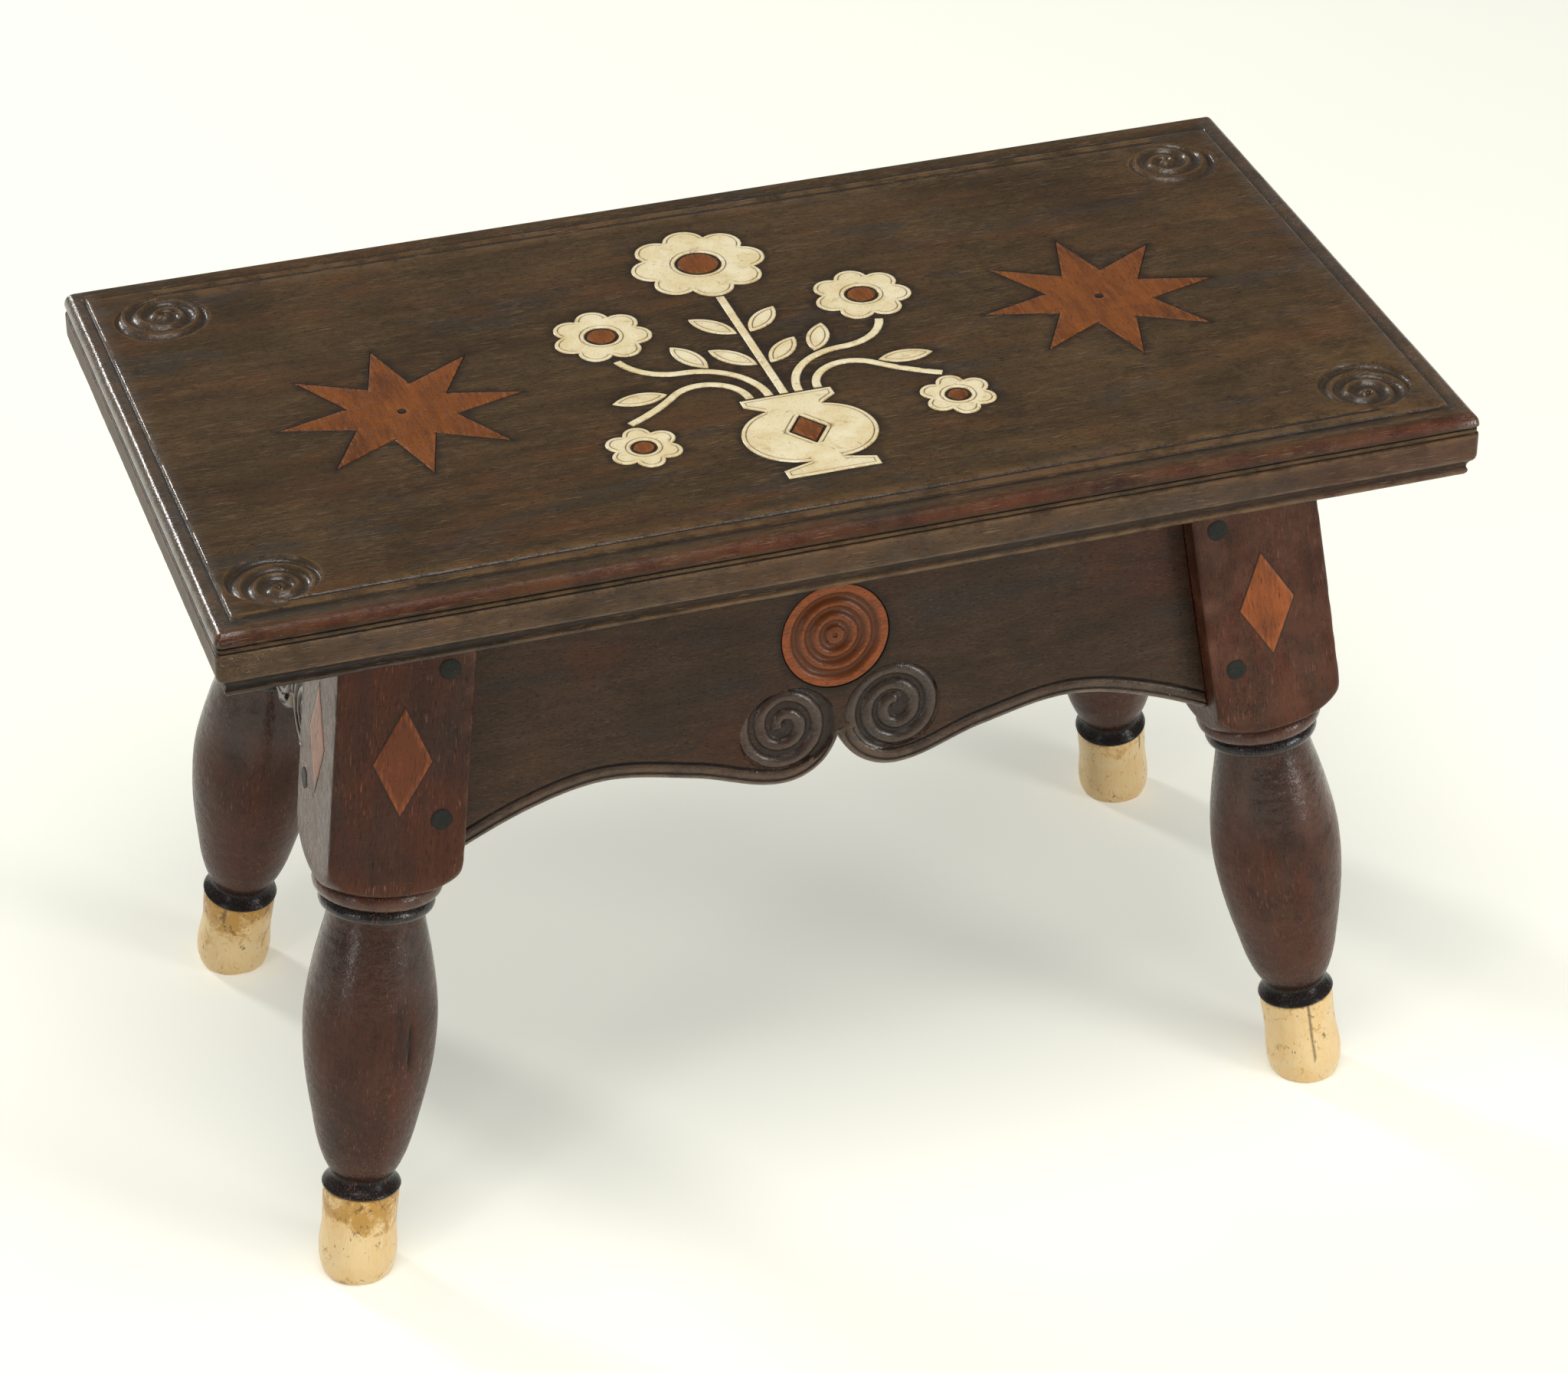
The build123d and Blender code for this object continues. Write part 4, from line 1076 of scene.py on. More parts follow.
def half_edge(kind):
    """Right half of an apron's lower edge, as in the CAD, from the cusp outwards."""
    _, _, radius, depth, _ = kinds[kind]
    steps = {"long": 40, "end": 34}[kind]
    # From the cusp in the middle round the scroll to its lowest point
    spread = radius * scroll_spread_share
    start = np.arctan2(-sqrt(radius**2 - spread**2), -spread) % full_turn
    foot = (spread, -depth) + radius * circle_points(np.linspace(start, 1.5 * pi, steps))
    if kind == "long":
        leg_line = leg_tops_x / 2
        crown = (leg_line * 0.565, -68.6)
        low, high = (leg_line * 0.355, -73.1), (leg_line * 0.75, -73.2)
        rise = hermite((foot[-1], low, crown), ((1, 0), (1, 0)), 30)
        fall = hermite((crown, high, (leg_line, -86.3)), ((1, 0), (2.4, -1)), 30)
    else:
        leg_line = leg_tops_y / 2
        crown = (leg_line * 0.658, -71.9)
        rise = hermite((foot[-1], crown), ((1, 0), (1, 0)), 26)
        fall = hermite((crown, (leg_line, -77.6)), ((1, 0), (1, -1)), 26)
    return np.concatenate((foot[:-1], rise[:-1], fall))


# Scrolls of the aprons: radius of the ridge's middle for each whole angle wound
# inwards from the lowest point by way of the cusp; the left one has no first turn
scroll_angles = np.radians((0, 90, 180, 270, 360, 450, 540, 630, 720, 810, 900, 960))
scroll_radii = {
    1: np.array((15.1, 14.3, 12.4, 11.0, 10.5, 9.1, 7.2, 5.6, 5.5, 3.9, 2.6, 1.2)),
    -1: np.array((16.2, 15.6, 14.2, 12.5, 11.3, 10.5, 9.9, 6.9, 5.7, 5.2, 3.9, 1.8)),
}
scroll_start = {1: 0.0, -1: 1.32 * pi}
scroll_end = {1: full_turn * 2.6, -1: full_turn * 2.85}
ridge_half, ridge_depth, ground_depth = 1.95, 0.95, 1.3
ground_angles = np.radians((0, 40, 90, 135, 180, 225, 250, 270, 300, 330, 345, 360))
ground_radii = {
    1: np.array((12.6, 15.0, 16.2, 15.0, 14.2, 14.1, 13.7, 13.2, 13.1, 12.8, 12.6, 12.6)),
    -1: np.array((13.4, 15.2, 16.8, 14.6, 12.2, 11.9, 12.6, 13.6, 14.2, 14.0, 13.7, 13.4)),
}
# How far each scroll's middle is from the middle of its lower edge's arc
scroll_shift = {1: (0.5, 0.3), -1: (-0.7, 0.2)}


def scroll_middle(kind, side):
    """Middle of a scroll, its X measured towards its own side."""
    _, _, radius, depth, _ = kinds[kind]
    shift_x, shift_y = scroll_shift[side]
    return radius * scroll_spread_share + shift_x, shift_y - depth


def scroll_points(kind, side, radius, angle):
    """Places on an apron's face at radii and angles round a scroll's middle."""
    middle_x, middle_y = scroll_middle(kind, side)
    x = (middle_x - radius * np.sin(angle)) * side
    return np.stack((x, middle_y - radius * np.cos(angle)), 1)


def ridge_radius(total, side, size):
    return np.interp(total, scroll_angles, scroll_radii[side] * size)


def edge_layers(flat, inset):
    """Height, wear, grime and polish of the bead along an apron's lower edge."""
    edge_end, bead_start, bead_end, quirk_end = 1.7, 2.0, 4.6, 5.6
    across = np.abs((inset - 3.3) / 1.3)
    on_edge = inset < edge_end
    step = (inset >= edge_end) & (inset < bead_start)
    bead = (inset >= bead_start) & (inset < bead_end)
    quirk = (inset >= bead_end) & (inset < quirk_end)
    z = np.where(on_edge, -1.15 * (1 - inset / edge_end) ** 2 - 0.12, 0.0)
    z = np.where(step, -0.42, z)
    z = np.where(bead, -0.40 * across**2.4, z)
    z = np.where(quirk, -0.75 * (1 - np.abs((inset - 5.05) / 0.6) ** 1.5).clip(0, 1), z)
    wear = np.where(bead, 0.55 * (1 - across**2), 0.0)
    wear = np.where(on_edge, 0.9 * smooth_step(0.0, 0.5, inset) * fade(1.0, edge_end, inset), wear)
    grime = np.where(quirk | step, 0.9, 0.0)
    sleek = np.where(inset < 4.8, 0.45, 0.0)
    # The bead fades where the two scrolls meet
    faded = np.where(inset > bead_start, smooth_step(1.0, 4.0, np.abs(flat[:, 0])), 1.0)
    return z * faded, wear * faded, grime * faded, sleek * faded


def face_layers(flat, edge, kind):
    """Height, wear, grime and polish of an apron's face from its edge line and scrolls."""
    _, _, radius, _, size = kinds[kind]
    inset = loop_distance(flat, [edge])
    z, wear, grime, sleek = edge_layers(flat, inset)
    half = ridge_half * size
    for side in (-1, 1):
        outwards = flat[:, 0] * side
        middle_x, middle_y = scroll_middle(kind, side)
        dx, dy = outwards - middle_x, flat[:, 1] - middle_y
        r, angle = np.hypot(dx, dy), np.arctan2(-dx, -dy) % full_turn
        own = (r < radius + 1) & (outwards > 0) & (inset > 1.9)
        nearest = np.full(len(flat), 99.0)
        strength = np.zeros(len(flat))
        for turn in range(-1, 3):
            total = angle + full_turn * turn
            here = (total >= scroll_start[side] - 0.5) & (total < scroll_end[side])
            gap = np.where(here, np.abs(r - ridge_radius(total, side, size)), 99.0)
            rising = smooth_step(scroll_start[side] - 0.5, scroll_start[side] + 0.3, total)
            fading = fade(scroll_end[side] - 0.8, scroll_end[side], total)
            strength = np.where(gap < nearest, rising * fading, strength)
            nearest = np.minimum(nearest, gap)
        # The carved ground, with its own wall outside the ridge
        into_ground = np.interp(angle, ground_angles, ground_radii[side] * size) - r
        slope = smooth_step(0.0, 0.9, into_ground) * smooth_step(0.4, 2.2, outwards)
        floor_z = -ground_depth * slope * size
        ridge_z = -0.05 - ridge_depth * np.clip(nearest / half, 0, 1) ** 2.0
        blend = smooth_step(half * 0.85, half * 1.25, nearest)
        carved = ridge_z * (1 - blend) + floor_z * blend
        carved = carved * strength + floor_z * (1 - strength)
        carved = np.where(nearest > 50, floor_z, carved) * smooth_step(0.5, 3.0, outwards)
        # Nothing is cut into the bead of the lower edge where the ridge joins it
        if side > 0:
            free = (inset >= 4.6) | (angle >= 0.45 * pi) & (angle <= 1.75 * pi)
        else:
            free = (inset > 4.4) | (angle > 0.2 * pi) & (angle < pi)
        use = own & (into_ground > 0) & free
        z = np.where(use, np.minimum(carved, 0), z)
        on_ridge = strength * fade(0.55, 1.1, nearest / half)
        wear = np.where(use, 0.12 * on_ridge, wear)
        grime = np.where(use, 0.18 + 0.6 * (1 - on_ridge) * slope, grime)
        sleek = np.where(use, 0.2 + 0.45 * on_ridge, sleek)
        eye = own & (r < 1.3 * size)
        z = np.where(eye, np.maximum(z, -ridge_depth), z)
    z += 0.05 * ripple(flat, 22, 31) + 0.03 * ripple(flat, 4, 32)
    return np.minimum(z, 0.02), wear, grime, sleek


def leg_line_at(kind, y, z):
    """Half length of an apron where it meets the legs, at places on its own frame."""
    panel = kinds[kind][0]
    along, across, _ = leg_axes()
    # The leg's inner face is the plane through the origin with this normal
    origin = leg_to_world([(half_square, half_square, 0)], -1, -1)[0]
    normal, direction = (along, panel.x) if kind == "long" else (across, -panel.x)
    y, z = np.atleast_1d(y), np.atleast_1d(z)
    base = panel.world(np.column_stack((0 * y, y, z)))
    return np.abs((origin - base) @ normal / (direction @ normal))


def scroll_scatter(kind):
    """Points of both scrolls of an apron: along the ridges, the ground's wall and the eye."""
    _, _, radius, _, size = kinds[kind]
    offsets = (-2.6, -2.1, -1.7, -1.35, -1.0, -0.6, 0.0, 0.6, 1.0, 1.35, 1.7, 2.1, 2.6, 3.4, 4.3)
    clear = 0.2
    scattered = []
    for side in (-1, 1):
        total = np.arange(0.0, scroll_end[side], 0.055)
        for offset in offsets:
            r = ridge_radius(total, side, size) + offset * size
            use = (r > 0.7) & (r < radius - 1.9)
            if offset > 2.2:
                use &= total < full_turn
            if offset < -2.2:
                use &= total > scroll_end[side] - full_turn
            points = scroll_points(kind, side, r[use], total[use])
            own = points[:, 0] * side > clear
            points, inner = points[own], r[use][own]
            # Every second point near the eye
            scattered.append(points[(np.arange(len(points)) % 2 == 0) | (inner > 6)])
        spin = turns(120)
        wall = np.interp(spin, ground_angles, ground_radii[side] * size)
        for inset in (-0.2, 0.1, 0.5, 0.95):
            points = scroll_points(kind, side, wall - inset, spin)
            scattered.append(points[points[:, 0] * side > clear])
        scattered.append(scroll_points(kind, side, np.zeros(1), spin[:1]))
        for r in (0.5, 1.0):
            scattered.append(scroll_points(kind, side, r, spin[::12]))
    return scattered


def apron_edge(kind):
    """Lower edge of an apron from leg to leg, with its normals into the face."""
    right = half_edge(kind)
    edge = np.concatenate(((right[1:] * (-1, 1))[::-1], right))
    # Cut where it meets the legs
    limit = leg_line_at(kind, edge[:, 1], 0 * edge[:, 1])
    edge = edge[np.abs(edge[:, 0]) < limit - 0.05]
    end_y = edge[0, 1]
    end_x = leg_line_at(kind, end_y, 0.0)[0]
    edge = divide(np.concatenate(([(-end_x, end_y)], edge, [(end_x, end_y)])), 1.0, False)
    heading = np.gradient(edge, axis=0)
    heading /= np.maximum(np.linalg.norm(heading, axis=1), 1e-9)[:, None]
    return edge, np.stack((-heading[:, 1], heading[:, 0]), 1)


def apron_face(kind, edge, normal, seed):
    """Carved face, with the roundel's pocket in a long apron."""
    _, _, radius, depth, _ = kinds[kind]
    top_x = leg_line_at(kind, 0.0, 0.0)[0]
    top = divide(np.array([(top_x, 0.0), (-top_x, 0.0)]), 4.0, False)
    boundary = np.concatenate((edge, top))
    line = np.concatenate((edge, edge[::-1]))
    scattered = []
    for inset in (
        0.25, 0.6, 1.1, 1.55, 1.75, 1.98, 2.15, 2.6, 3.3,
        4.0, 4.45, 4.62, 4.83, 5.05, 5.27, 5.5, 6.0, 7.0,
    ):
        candidates = edge + normal * inset
        scattered.append(candidates[loop_distance(candidates, [line]) > inset * 0.96])
    scattered += scroll_scatter(kind)
    field = grid_points((-top_x - 5, -90), (top_x + 5, -0.5), 3.0)
    spread = radius * scroll_spread_share
    far = np.hypot(np.abs(field[:, 0]) - spread, field[:, 1] + depth)
    scattered = np.concatenate(scattered + [field[far > radius + 0.5]])
    scattered = scattered[inside_loops(scattered, [boundary])]
    scattered = scattered[loop_distance(scattered, [boundary]) > 0.2]
    loops = [boundary]
    if kind == "long":
        middle = np.array((0, roundel_y))
        circle = middle + roundel_pocket * circle_points(turns(96))
        loops += [circle, circle + (middle - circle) * 0.03]
        far = np.hypot(scattered[:, 0], scattered[:, 1] - roundel_y)
        scattered = scattered[far > roundel_pocket + 0.5]
    flat, faces = triangulate(scattered, loops, [boundary])
    z, wear, grime, sleek = face_layers(flat, line, kind)
    if kind == "long":
        far = np.hypot(flat[:, 0], flat[:, 1] - roundel_y)
        z = np.where(far < roundel_pocket - 0.1, -roundel_pocket_depth, z)
        grime = np.where(far < roundel_pocket + 0.3, 1.0, grime)
        grime = np.maximum(grime, 0.55 * fade(0.3, 2.5, np.abs(far - roundel_pocket)))
    red = 0.35 * smooth_step(0.1, 0.9, ripple(flat, 60, seed))
    layers = {"wear": wear, "grime": grime, "red": red, "sleek": sleek}
    return np.column_stack((flat, z)), faces, layers


def apron_wall(kind, edge, normal):
    """Rows of the lower edge through the thickness, rounded at both faces."""
    face_z = -1.27 + 0.05 * ripple(edge, 22, 31) + 0.02 * ripple(edge, 4, 32)
    wall = Rows()
    # How far back, how far up, wear
    for back, lift, worn in (
        (0.0, 0.0, 0.9), (1.2, -0.1, 0.5), (4.0, -0.15, 0.2), (8.0, -0.1, 0.1),
        (11.5, 0.0, 0.2), (12.4, 0.25, 0.5), (12.73, 0.9, 0.3),
    ):
        z = np.maximum(face_z - back, -apron_thickness)
        x, y = (edge + normal * lift).T
        end = leg_line_at(kind, y, z)
        x = np.clip(x, -end, end)
        x[0], x[-1] = -end[0], end[-1]
        wall.add(x, y, z, wear=worn, grime=0.2, sleek=0.5)
    return wall


def apron_back(kind, lower):
    """Plain back above its lower line."""
    lean = kinds[kind][1]
    end_x = leg_line_at(kind, 0.0, -apron_thickness)[0]
    top_x = np.linspace(end_x, -end_x, 80)
    top = np.column_stack((top_x, np.full(len(top_x), apron_thickness * lean)))
    loops = [np.concatenate((lower, top))]
    reach = leg_line_at(kind, 0.0, 0.0)[0] + 5
    field = grid_points((-reach, -90), (reach, 1), 5.0)
    field = field[inside_loops(field, loops)]
    flat, faces = triangulate(field[loop_distance(field, loops) > 1.5], loops, loops)
    uneven = 0.06 * ripple(flat, 15, 33) + 0.06
    z = np.where(loop_distance(flat, loops) > 0.5, uneven, 0) - apron_thickness
    return np.column_stack((flat, z)), faces[:, ::-1], {"grime": np.full(len(flat), 0.2)}


def make_apron(kind, node, flip, seed):
    """An apron: carved face, rounded lower edge, plain back, butted to the legs."""
    edge, normal = apron_edge(kind)
    wall = apron_wall(kind, edge, normal)
    points, faces, layers = merge([
        apron_face(kind, edge, normal, seed),
        wall.part(wrap=False, last=False, over=True),
        apron_back(kind, wall.rings[-1][:, :2]),
    ])
    world = kinds[kind][0].world(points, flip)
    world[:, 2] = np.minimum(world[:, 2], underside - clear_below)
    add_piece(
        node + "_carved", world, faces, apron_wood, "apron_wood", node, welded=True,
        turned=bool(flip), local=points + (seed * 31.0, seed * 17.0, 0), **layers,
    )


make_apron("long", "apron_front", "", 41)
make_apron("long", "apron_back", "y", 42)
make_apron("end", "apron_left", "", 43)
make_apron("end", "apron_right", "x", 44)


def make_roundel(node, flip):
    """Inlaid roundel with ring ridges, cut by hand and slightly uneven."""
    circle = circle_points(turns(144))
    flat_share, eye_share, ring_share, rim_start = 0.9, 0.17, 0.262, 16.2
    radii = np.concatenate(
        ((0.02, 0.5), np.arange(0.9, 16.0, 0.32), (16.1, 16.3, 16.45, roundel_outer))
    )
    disc = Rows()
    for radius in radii:
        wobble = 1 + 0.018 * ripple(circle * radius, 11, 51)
        share = np.clip(radius * wobble / roundel_outer, 0, 1)
        wave = 0.5 - 0.5 * np.cos(full_turn * (share - 0.88) / ring_share)
        height = np.where(share > flat_share, -0.12, -0.12 - 1.15 * wave**1.15)
        eye = -0.2 - 0.3 * (share / eye_share) ** 2
        height = np.where(share < eye_share, eye, height)
        height = np.where(share < 0.035, -0.7, height)
        if radius > rim_start:
            height = height - 0.5 * ((radius - rim_start) / 0.35) ** 2
        grime = 0.4 * smooth_step(-0.35, -0.95, height)
        disc.add(
            *(circle * radius + (0, roundel_y)).T, height,
            grime=np.maximum(grime, smooth_step(16.25, 16.5, radius)),
            wear=0.35 * smooth_step(-0.35, -0.13, height),
            tone=0.7 * smooth_step(15.0, 13.0, radius),
        )
    rim = circle * roundel_outer + (0, roundel_y)
    disc.add(*rim.T, -roundel_thickness, grime=1, wear=0, tone=0)
    points, faces, layers = disc.part(first=True, last=False, over=True)
    add_piece(
        node + "_cut", front_panel.world(points, flip), faces, roundel_wood, "red_wood", node,
        turned=bool(flip), local=points, **layers,
    )


make_roundel("roundel_front", "")
make_roundel("roundel_back", "y")


# Legs, feet, diamonds and pegs

block_length, shoulder_drop, shoulder_low_radius = 79.0, 12.3, 17.6
shoulder_height = leg_length - block_length
upper_ring_top = shoulder_height - shoulder_drop
# How faded and how dark each leg is, and the stain of its foot. The front legs' values also paint
# light and shade: the front right leg is faded lighter and the front left leg made darker, for
# light that falls more strongly from the right front; the back right foot's low stain paints light
# on a foot that stands in the stool's shade.
leg_states = {
    "front_left": (0.05, 0.25, 1.0),
    "front_right": (0.45, 0.0, 0.2),
    "back_left": (0.1, 0.15, 1.15),
    "back_right": (0.2, 0.1, 0.15),
}


def leg_profile():
    """Turned profile from the foot to the shoulder: height, radius, wear, grime, tone."""
    upper_low = upper_ring_top - 5.6
    lower_top = upper_low - 0.6
    lower_low = lower_top - 4.6
    waist, neck = 33.6, 13.9
    length = lower_low - waist
    rows = [
        (29.0, 11.3, 0.0, 1.0, 1.0),
        (29.15, 11.75, 0.4, 0.0, 1.0),
        (29.6, 11.9, 0.3, 0.0, 1.0),
        (30.0, 11.75, 0.0, 0.0, 1.0),
        (30.8, 11.0, 0.0, 0.0, 1.0),
        (31.8, 10.1, 0.0, 0.0, 1.0),
        (32.8, 9.5, 0.0, 0.0, 1.0),
        (waist, 9.3, 0.0, 0.2, 0.95),
        (34.4, 9.55, 0.0, 0.2, 0.7),
    ]
    # The barrel: height, radius and slope at each of its places
    places = [
        (waist + length * share, radius, slope)
        for share, radius, slope in (
            (0, 9.3, 0.62), (0.25, 16.4, 0.215), (0.572, 19.9, 0.0), (0.817, 17.3, -0.19),
            (1, neck, -0.14),
        )
    ]
    for (low, radius, slope), (high, next_radius, next_slope) in zip(places, places[1:]):
        for t in np.linspace(0, 1, 16)[1:]:
            height = low + (high - low) * t
            if 34.6 < height < lower_low - 0.1:
                tone = 0.75 * fade(34, 41, height)
                tone += 0.25 * smooth_step(lower_low - 26, lower_low - 6, height)
                there = cubic(t, high - low, radius, next_radius, slope, next_slope)
                rows.append((height, there, 0.12, 0.0, tone))
    rings = (
        (lower_low, (
            (-0.35, neck + 0.05, 0.0, 0.6, 0.4),
            (0.0, neck + 0.3, 0.0, 1.0, 0.8),
            (0.05, 15.3, 0.5, 0.3, 0.8),
            (0.3, 16.35, 1.0, 0.0, 0.35),
            (0.9, 16.95, 0.9, 0.0, 0.6),
            (1.7, 17.2, 0.2, 0.0, 1.0),
            (2.6, 17.15, 0.0, 0.0, 1.0),
            (3.4, 16.85, 0.0, 0.0, 1.0),
            (4.1, 16.3, 0.0, 0.2, 1.0),
        )),
        (lower_top, ((0.0, 15.8, 0.0, 1.0, 1.0),)),
        (upper_low, (
            (0.0, 15.8, 0.0, 1.0, 1.0),
            (0.06, 17.3, 0.2, 0.4, 0.3),
            (0.45, 18.25, 0.7, 0.0, 0.0),
            (1.3, 18.9, 0.5, 0.0, 0.0),
            (2.5, 19.2, 0.3, 0.0, 0.0),
            (3.9, 19.05, 0.3, 0.0, 0.0),
            (4.9, 18.5, 0.2, 0.1, 0.0),
        )),
        (upper_ring_top, ((-0.1, 17.75, 0.1, 0.7, 0.2),)),
    )
    return rows + [(base + step, *rest) for base, ring in rings for step, *rest in ring]


def circle_through(*points):
    """Middle and radius of the circle through three points."""
    a, b, c = map(np.array, points)
    matrix = 2 * np.array((b - a, c - a))
    middle = np.linalg.solve(matrix, np.array((b @ b - a @ a, c @ c - a @ a)))
    return middle, np.linalg.norm(a - middle)


def square_radius(angle, half, rounding):
    """Distance from the axis to a square with rounded corners, along an angle."""
    x, y = np.abs(np.cos(angle)), np.abs(np.sin(angle))
    flat = half / np.maximum(x, y)
    c = half - rounding
    along = c * (x + y)
    corner = along + np.sqrt(np.maximum(along**2 - 2 * c**2 + rounding**2, 0))
    return np.where(np.minimum(x, y) * flat > c, corner, flat)


def on_leg(part, side_x, side_y, shift, across=False):
    """A part moved from the front left leg's frame to a corner, with its own coordinates."""
    points, faces, layers = part
    points = points[:, (1, 0, 2)] if across else points
    if (side_x * side_y < 0) != across:
        faces = turned_over(faces)
    return leg_to_world(points, side_x, side_y), faces, {**layers, "local": points + shift}


def leg_angles():
    """Angles all round a leg, closer together at the corners of its square."""
    steps = np.radians((0.4, 1.0, 1.7, 2.4, 3.2))
    near = np.concatenate((-steps, steps))
    arrises = [pi / 4 + k * pi / 2 + near for k in range(4)]
    around = np.concatenate([turns(112)] + arrises) % full_turn
    return np.unique(np.round(around, 6))


around_leg = leg_angles()
leg_circle = circle_points(around_leg)
leg_square = square_radius(around_leg, half_square, 1.1)


def leg_ring(r, z):
    return np.stack(np.broadcast_arrays(*leg_circle.T * r, z), 1)


def leg_row(leg, r, z, wear, grime, tone, sleek=0.0):
    leg.add(*leg_circle.T * r, z, wear=wear, grime=grime, tone=tone, sleek=sleek)


def add_turned(leg, corner, seed):
    """The turned rings, barrel and ankle, from the foot up."""
    faded, darkening_and_painted_shade, _ = leg_states[corner]
    crack_angle, crack_low, crack_high = 5.09, 74, 94
    leg_row(leg, 6.0, 29.0, 0, 1, 1)
    for z, r, wear, grime, tone in leg_profile():
        ring = leg_ring(r, z)
        wobble = 0.05 * ripple(ring, 14, seed) + 0.03 * ripple(ring * (1, 1, 3), 9, seed + 6)
        if 40 < z < 118:
            patch = smooth_step(0.0, 0.9, ripple(ring * (1, 1, 0.4), 22, seed + 7))
            # On the front legs the fading also paints light and the darkening also paints shade
            tone = tone + 0.4 * patch * smooth_step(75, 105, z) + darkening_and_painted_shade * (1 - patch)
            wear = wear + 0.3 * faded
        if corner == "front_left" and crack_low < z < crack_high:
            # A short drying crack in the barrel
            gap = np.abs(around_leg - crack_angle - 0.012 * sin(z * 0.5))
            ends = min(1, (z - crack_low) / 5, (crack_high - z) / 5)
            crack = fade(0.02, 0.045, gap) * ends
            wobble = wobble - 0.7 * crack
            grime = np.maximum(grime, crack)
        sleek = 0.03 + 0.45 * smooth_step(88, 108, z)
        leg_row(leg, r + wobble, z, wear, grime, np.clip(tone, 0, 1), sleek)


def add_shoulder(leg):
    """The round shoulder, softly into the square. Gives the height where it ends."""
    low = (shoulder_low_radius, upper_ring_top)
    bulge = (25.2, upper_ring_top + shoulder_drop * 0.33)
    high = (half_square * sqrt(2), shoulder_height)
    (middle_r, middle_z), radius = circle_through(low, bulge, high)
    start = np.arctan2(low[1] - middle_z, low[0] - middle_r)
    meet = -np.arccos(np.clip((leg_square - middle_r) / radius, -1, 1))
    softness = 0.55

    def softened(turned):
        inner, outer = np.minimum(turned, leg_square), np.maximum(turned, leg_square)
        return inner - softness * np.log1p(np.exp((inner - outer) / softness)) + 0.02

    for share in (0.04, 0.12, 0.22, 0.34, 0.46, 0.58, 0.7, 0.8, 0.88, 0.94, 1.0):
        angle = start + (meet - start) * share
        z = middle_z + radius * np.sin(angle)
        wear = 0.1 + 0.35 * smooth_step(0.85, 1.0, share)
        r = softened(middle_r + radius * np.cos(angle))
        leg_row(leg, r, z, wear, 0.25 * (1 - share), 0)
    meet_z = z
    for lift in (0.35, 0.8, 1.4, 2.2):
        z = meet_z + lift
        reach = np.clip(z - middle_z, -radius, 0)
        r = middle_r + np.sqrt(radius**2 - reach**2) + np.maximum(z - middle_z, 0)
        leg_row(leg, softened(r), z, 0.35 / (1 + lift), 0, 0)
    return z


def add_square(leg, corner, side_x, seed, meet_z):
    """The square up to the board, with worn arrises."""
    faded, darkening_and_painted_shade, _ = leg_states[corner]
    along, across, up = leg_axes()
    top_z = underside - clear_below - leg_square * (leg_circle @ (along[2], across[2]))
    top_z = top_z / up[2]
    corner_wear = smooth_step(0.4, 1.0, 1 - np.abs(np.abs(np.sin(2 * around_leg)) - 1) * 14)
    # Painted sheen: the outer end faces of the left legs are lightened with the worn colour, for
    # the reflection that lies on them at a grazing angle
    left_face_painted_sheen = 0.5 * (side_x < 0) * (leg_circle[:, 0] < -0.7)
    for share in np.linspace(0.03, 1, 34):
        z = meet_z + (top_z - meet_z) * share
        ring = leg_ring(leg_square, z)
        dent = 0.06 * ripple(ring, 25, seed + 1) + 0.02 * ripple(ring, 5, seed + 2)
        worn = 0.12 * smooth_step(0.3, 1, corner_wear) * (ripple(ring, 6, seed + 3) > 0.2)
        rub = smooth_step(-0.2, 0.7, ripple(ring, 11, seed + 4))
        even_wear = 0.8 + 0.2 * ripple(ring, 30, seed + 8)
        # The fading lightens the front right leg's faces as painted light; the dulling darkens the
        # front left leg's faces as painted shade
        face_wear_and_painted_light = np.maximum(faded, left_face_painted_sheen) * even_wear * (1 - corner_wear)
        dull_and_painted_shade = darkening_and_painted_shade * smooth_step(-0.3, 0.8, ripple(ring, 26, seed + 9))
        wear = 0.7 * corner_wear * rub + face_wear_and_painted_light
        leg_row(leg, leg_square + dent - 0.08 - worn, z, wear, 0, dull_and_painted_shade)


def make_leg(corner, side_x, side_y, seed):
    """A turned and squared leg."""
    leg = Rows()
    add_turned(leg, corner, seed)
    meet_z = add_shoulder(leg)
    add_square(leg, corner, side_x, seed, meet_z)
    part = leg.part(first=True)
    red = 0.3 * smooth_step(-0.4, 0.8, ripple(part[0], 45, seed + 5))
    shift = (seed * 13.0, seed * 7.0, seed * 29.0)
    points, faces, layers = on_leg(part, side_x, side_y, shift)
    add_piece(
        f"leg_{corner}_turned", points, faces, leg_wood, "leg_wood", "leg_" + corner,
        red=red, **layers,
    )


# A foot's profile: height and radius
foot_rows = (
    (-2.6, 0.05), (-2.6, 4.0), (-2.6, 7.0), (-2.5, 8.2), (-1.6, 9.3), (-0.6, 10.05), (0.6, 10.65),
    (2.0, 11.15), (3.6, 11.55), (5.4, 11.82), (7.4, 11.92), (9.4, 11.88), (11.5, 11.72),
    (13.5, 11.52), (15.5, 11.36), (17.5, 11.28), (19.5, 11.3), (21.5, 11.37), (23.5, 11.45),
    (25.5, 11.53), (27.2, 11.58), (28.3, 11.5), (28.75, 11.3), (28.9, 10.9), (28.9, 5.5),
)


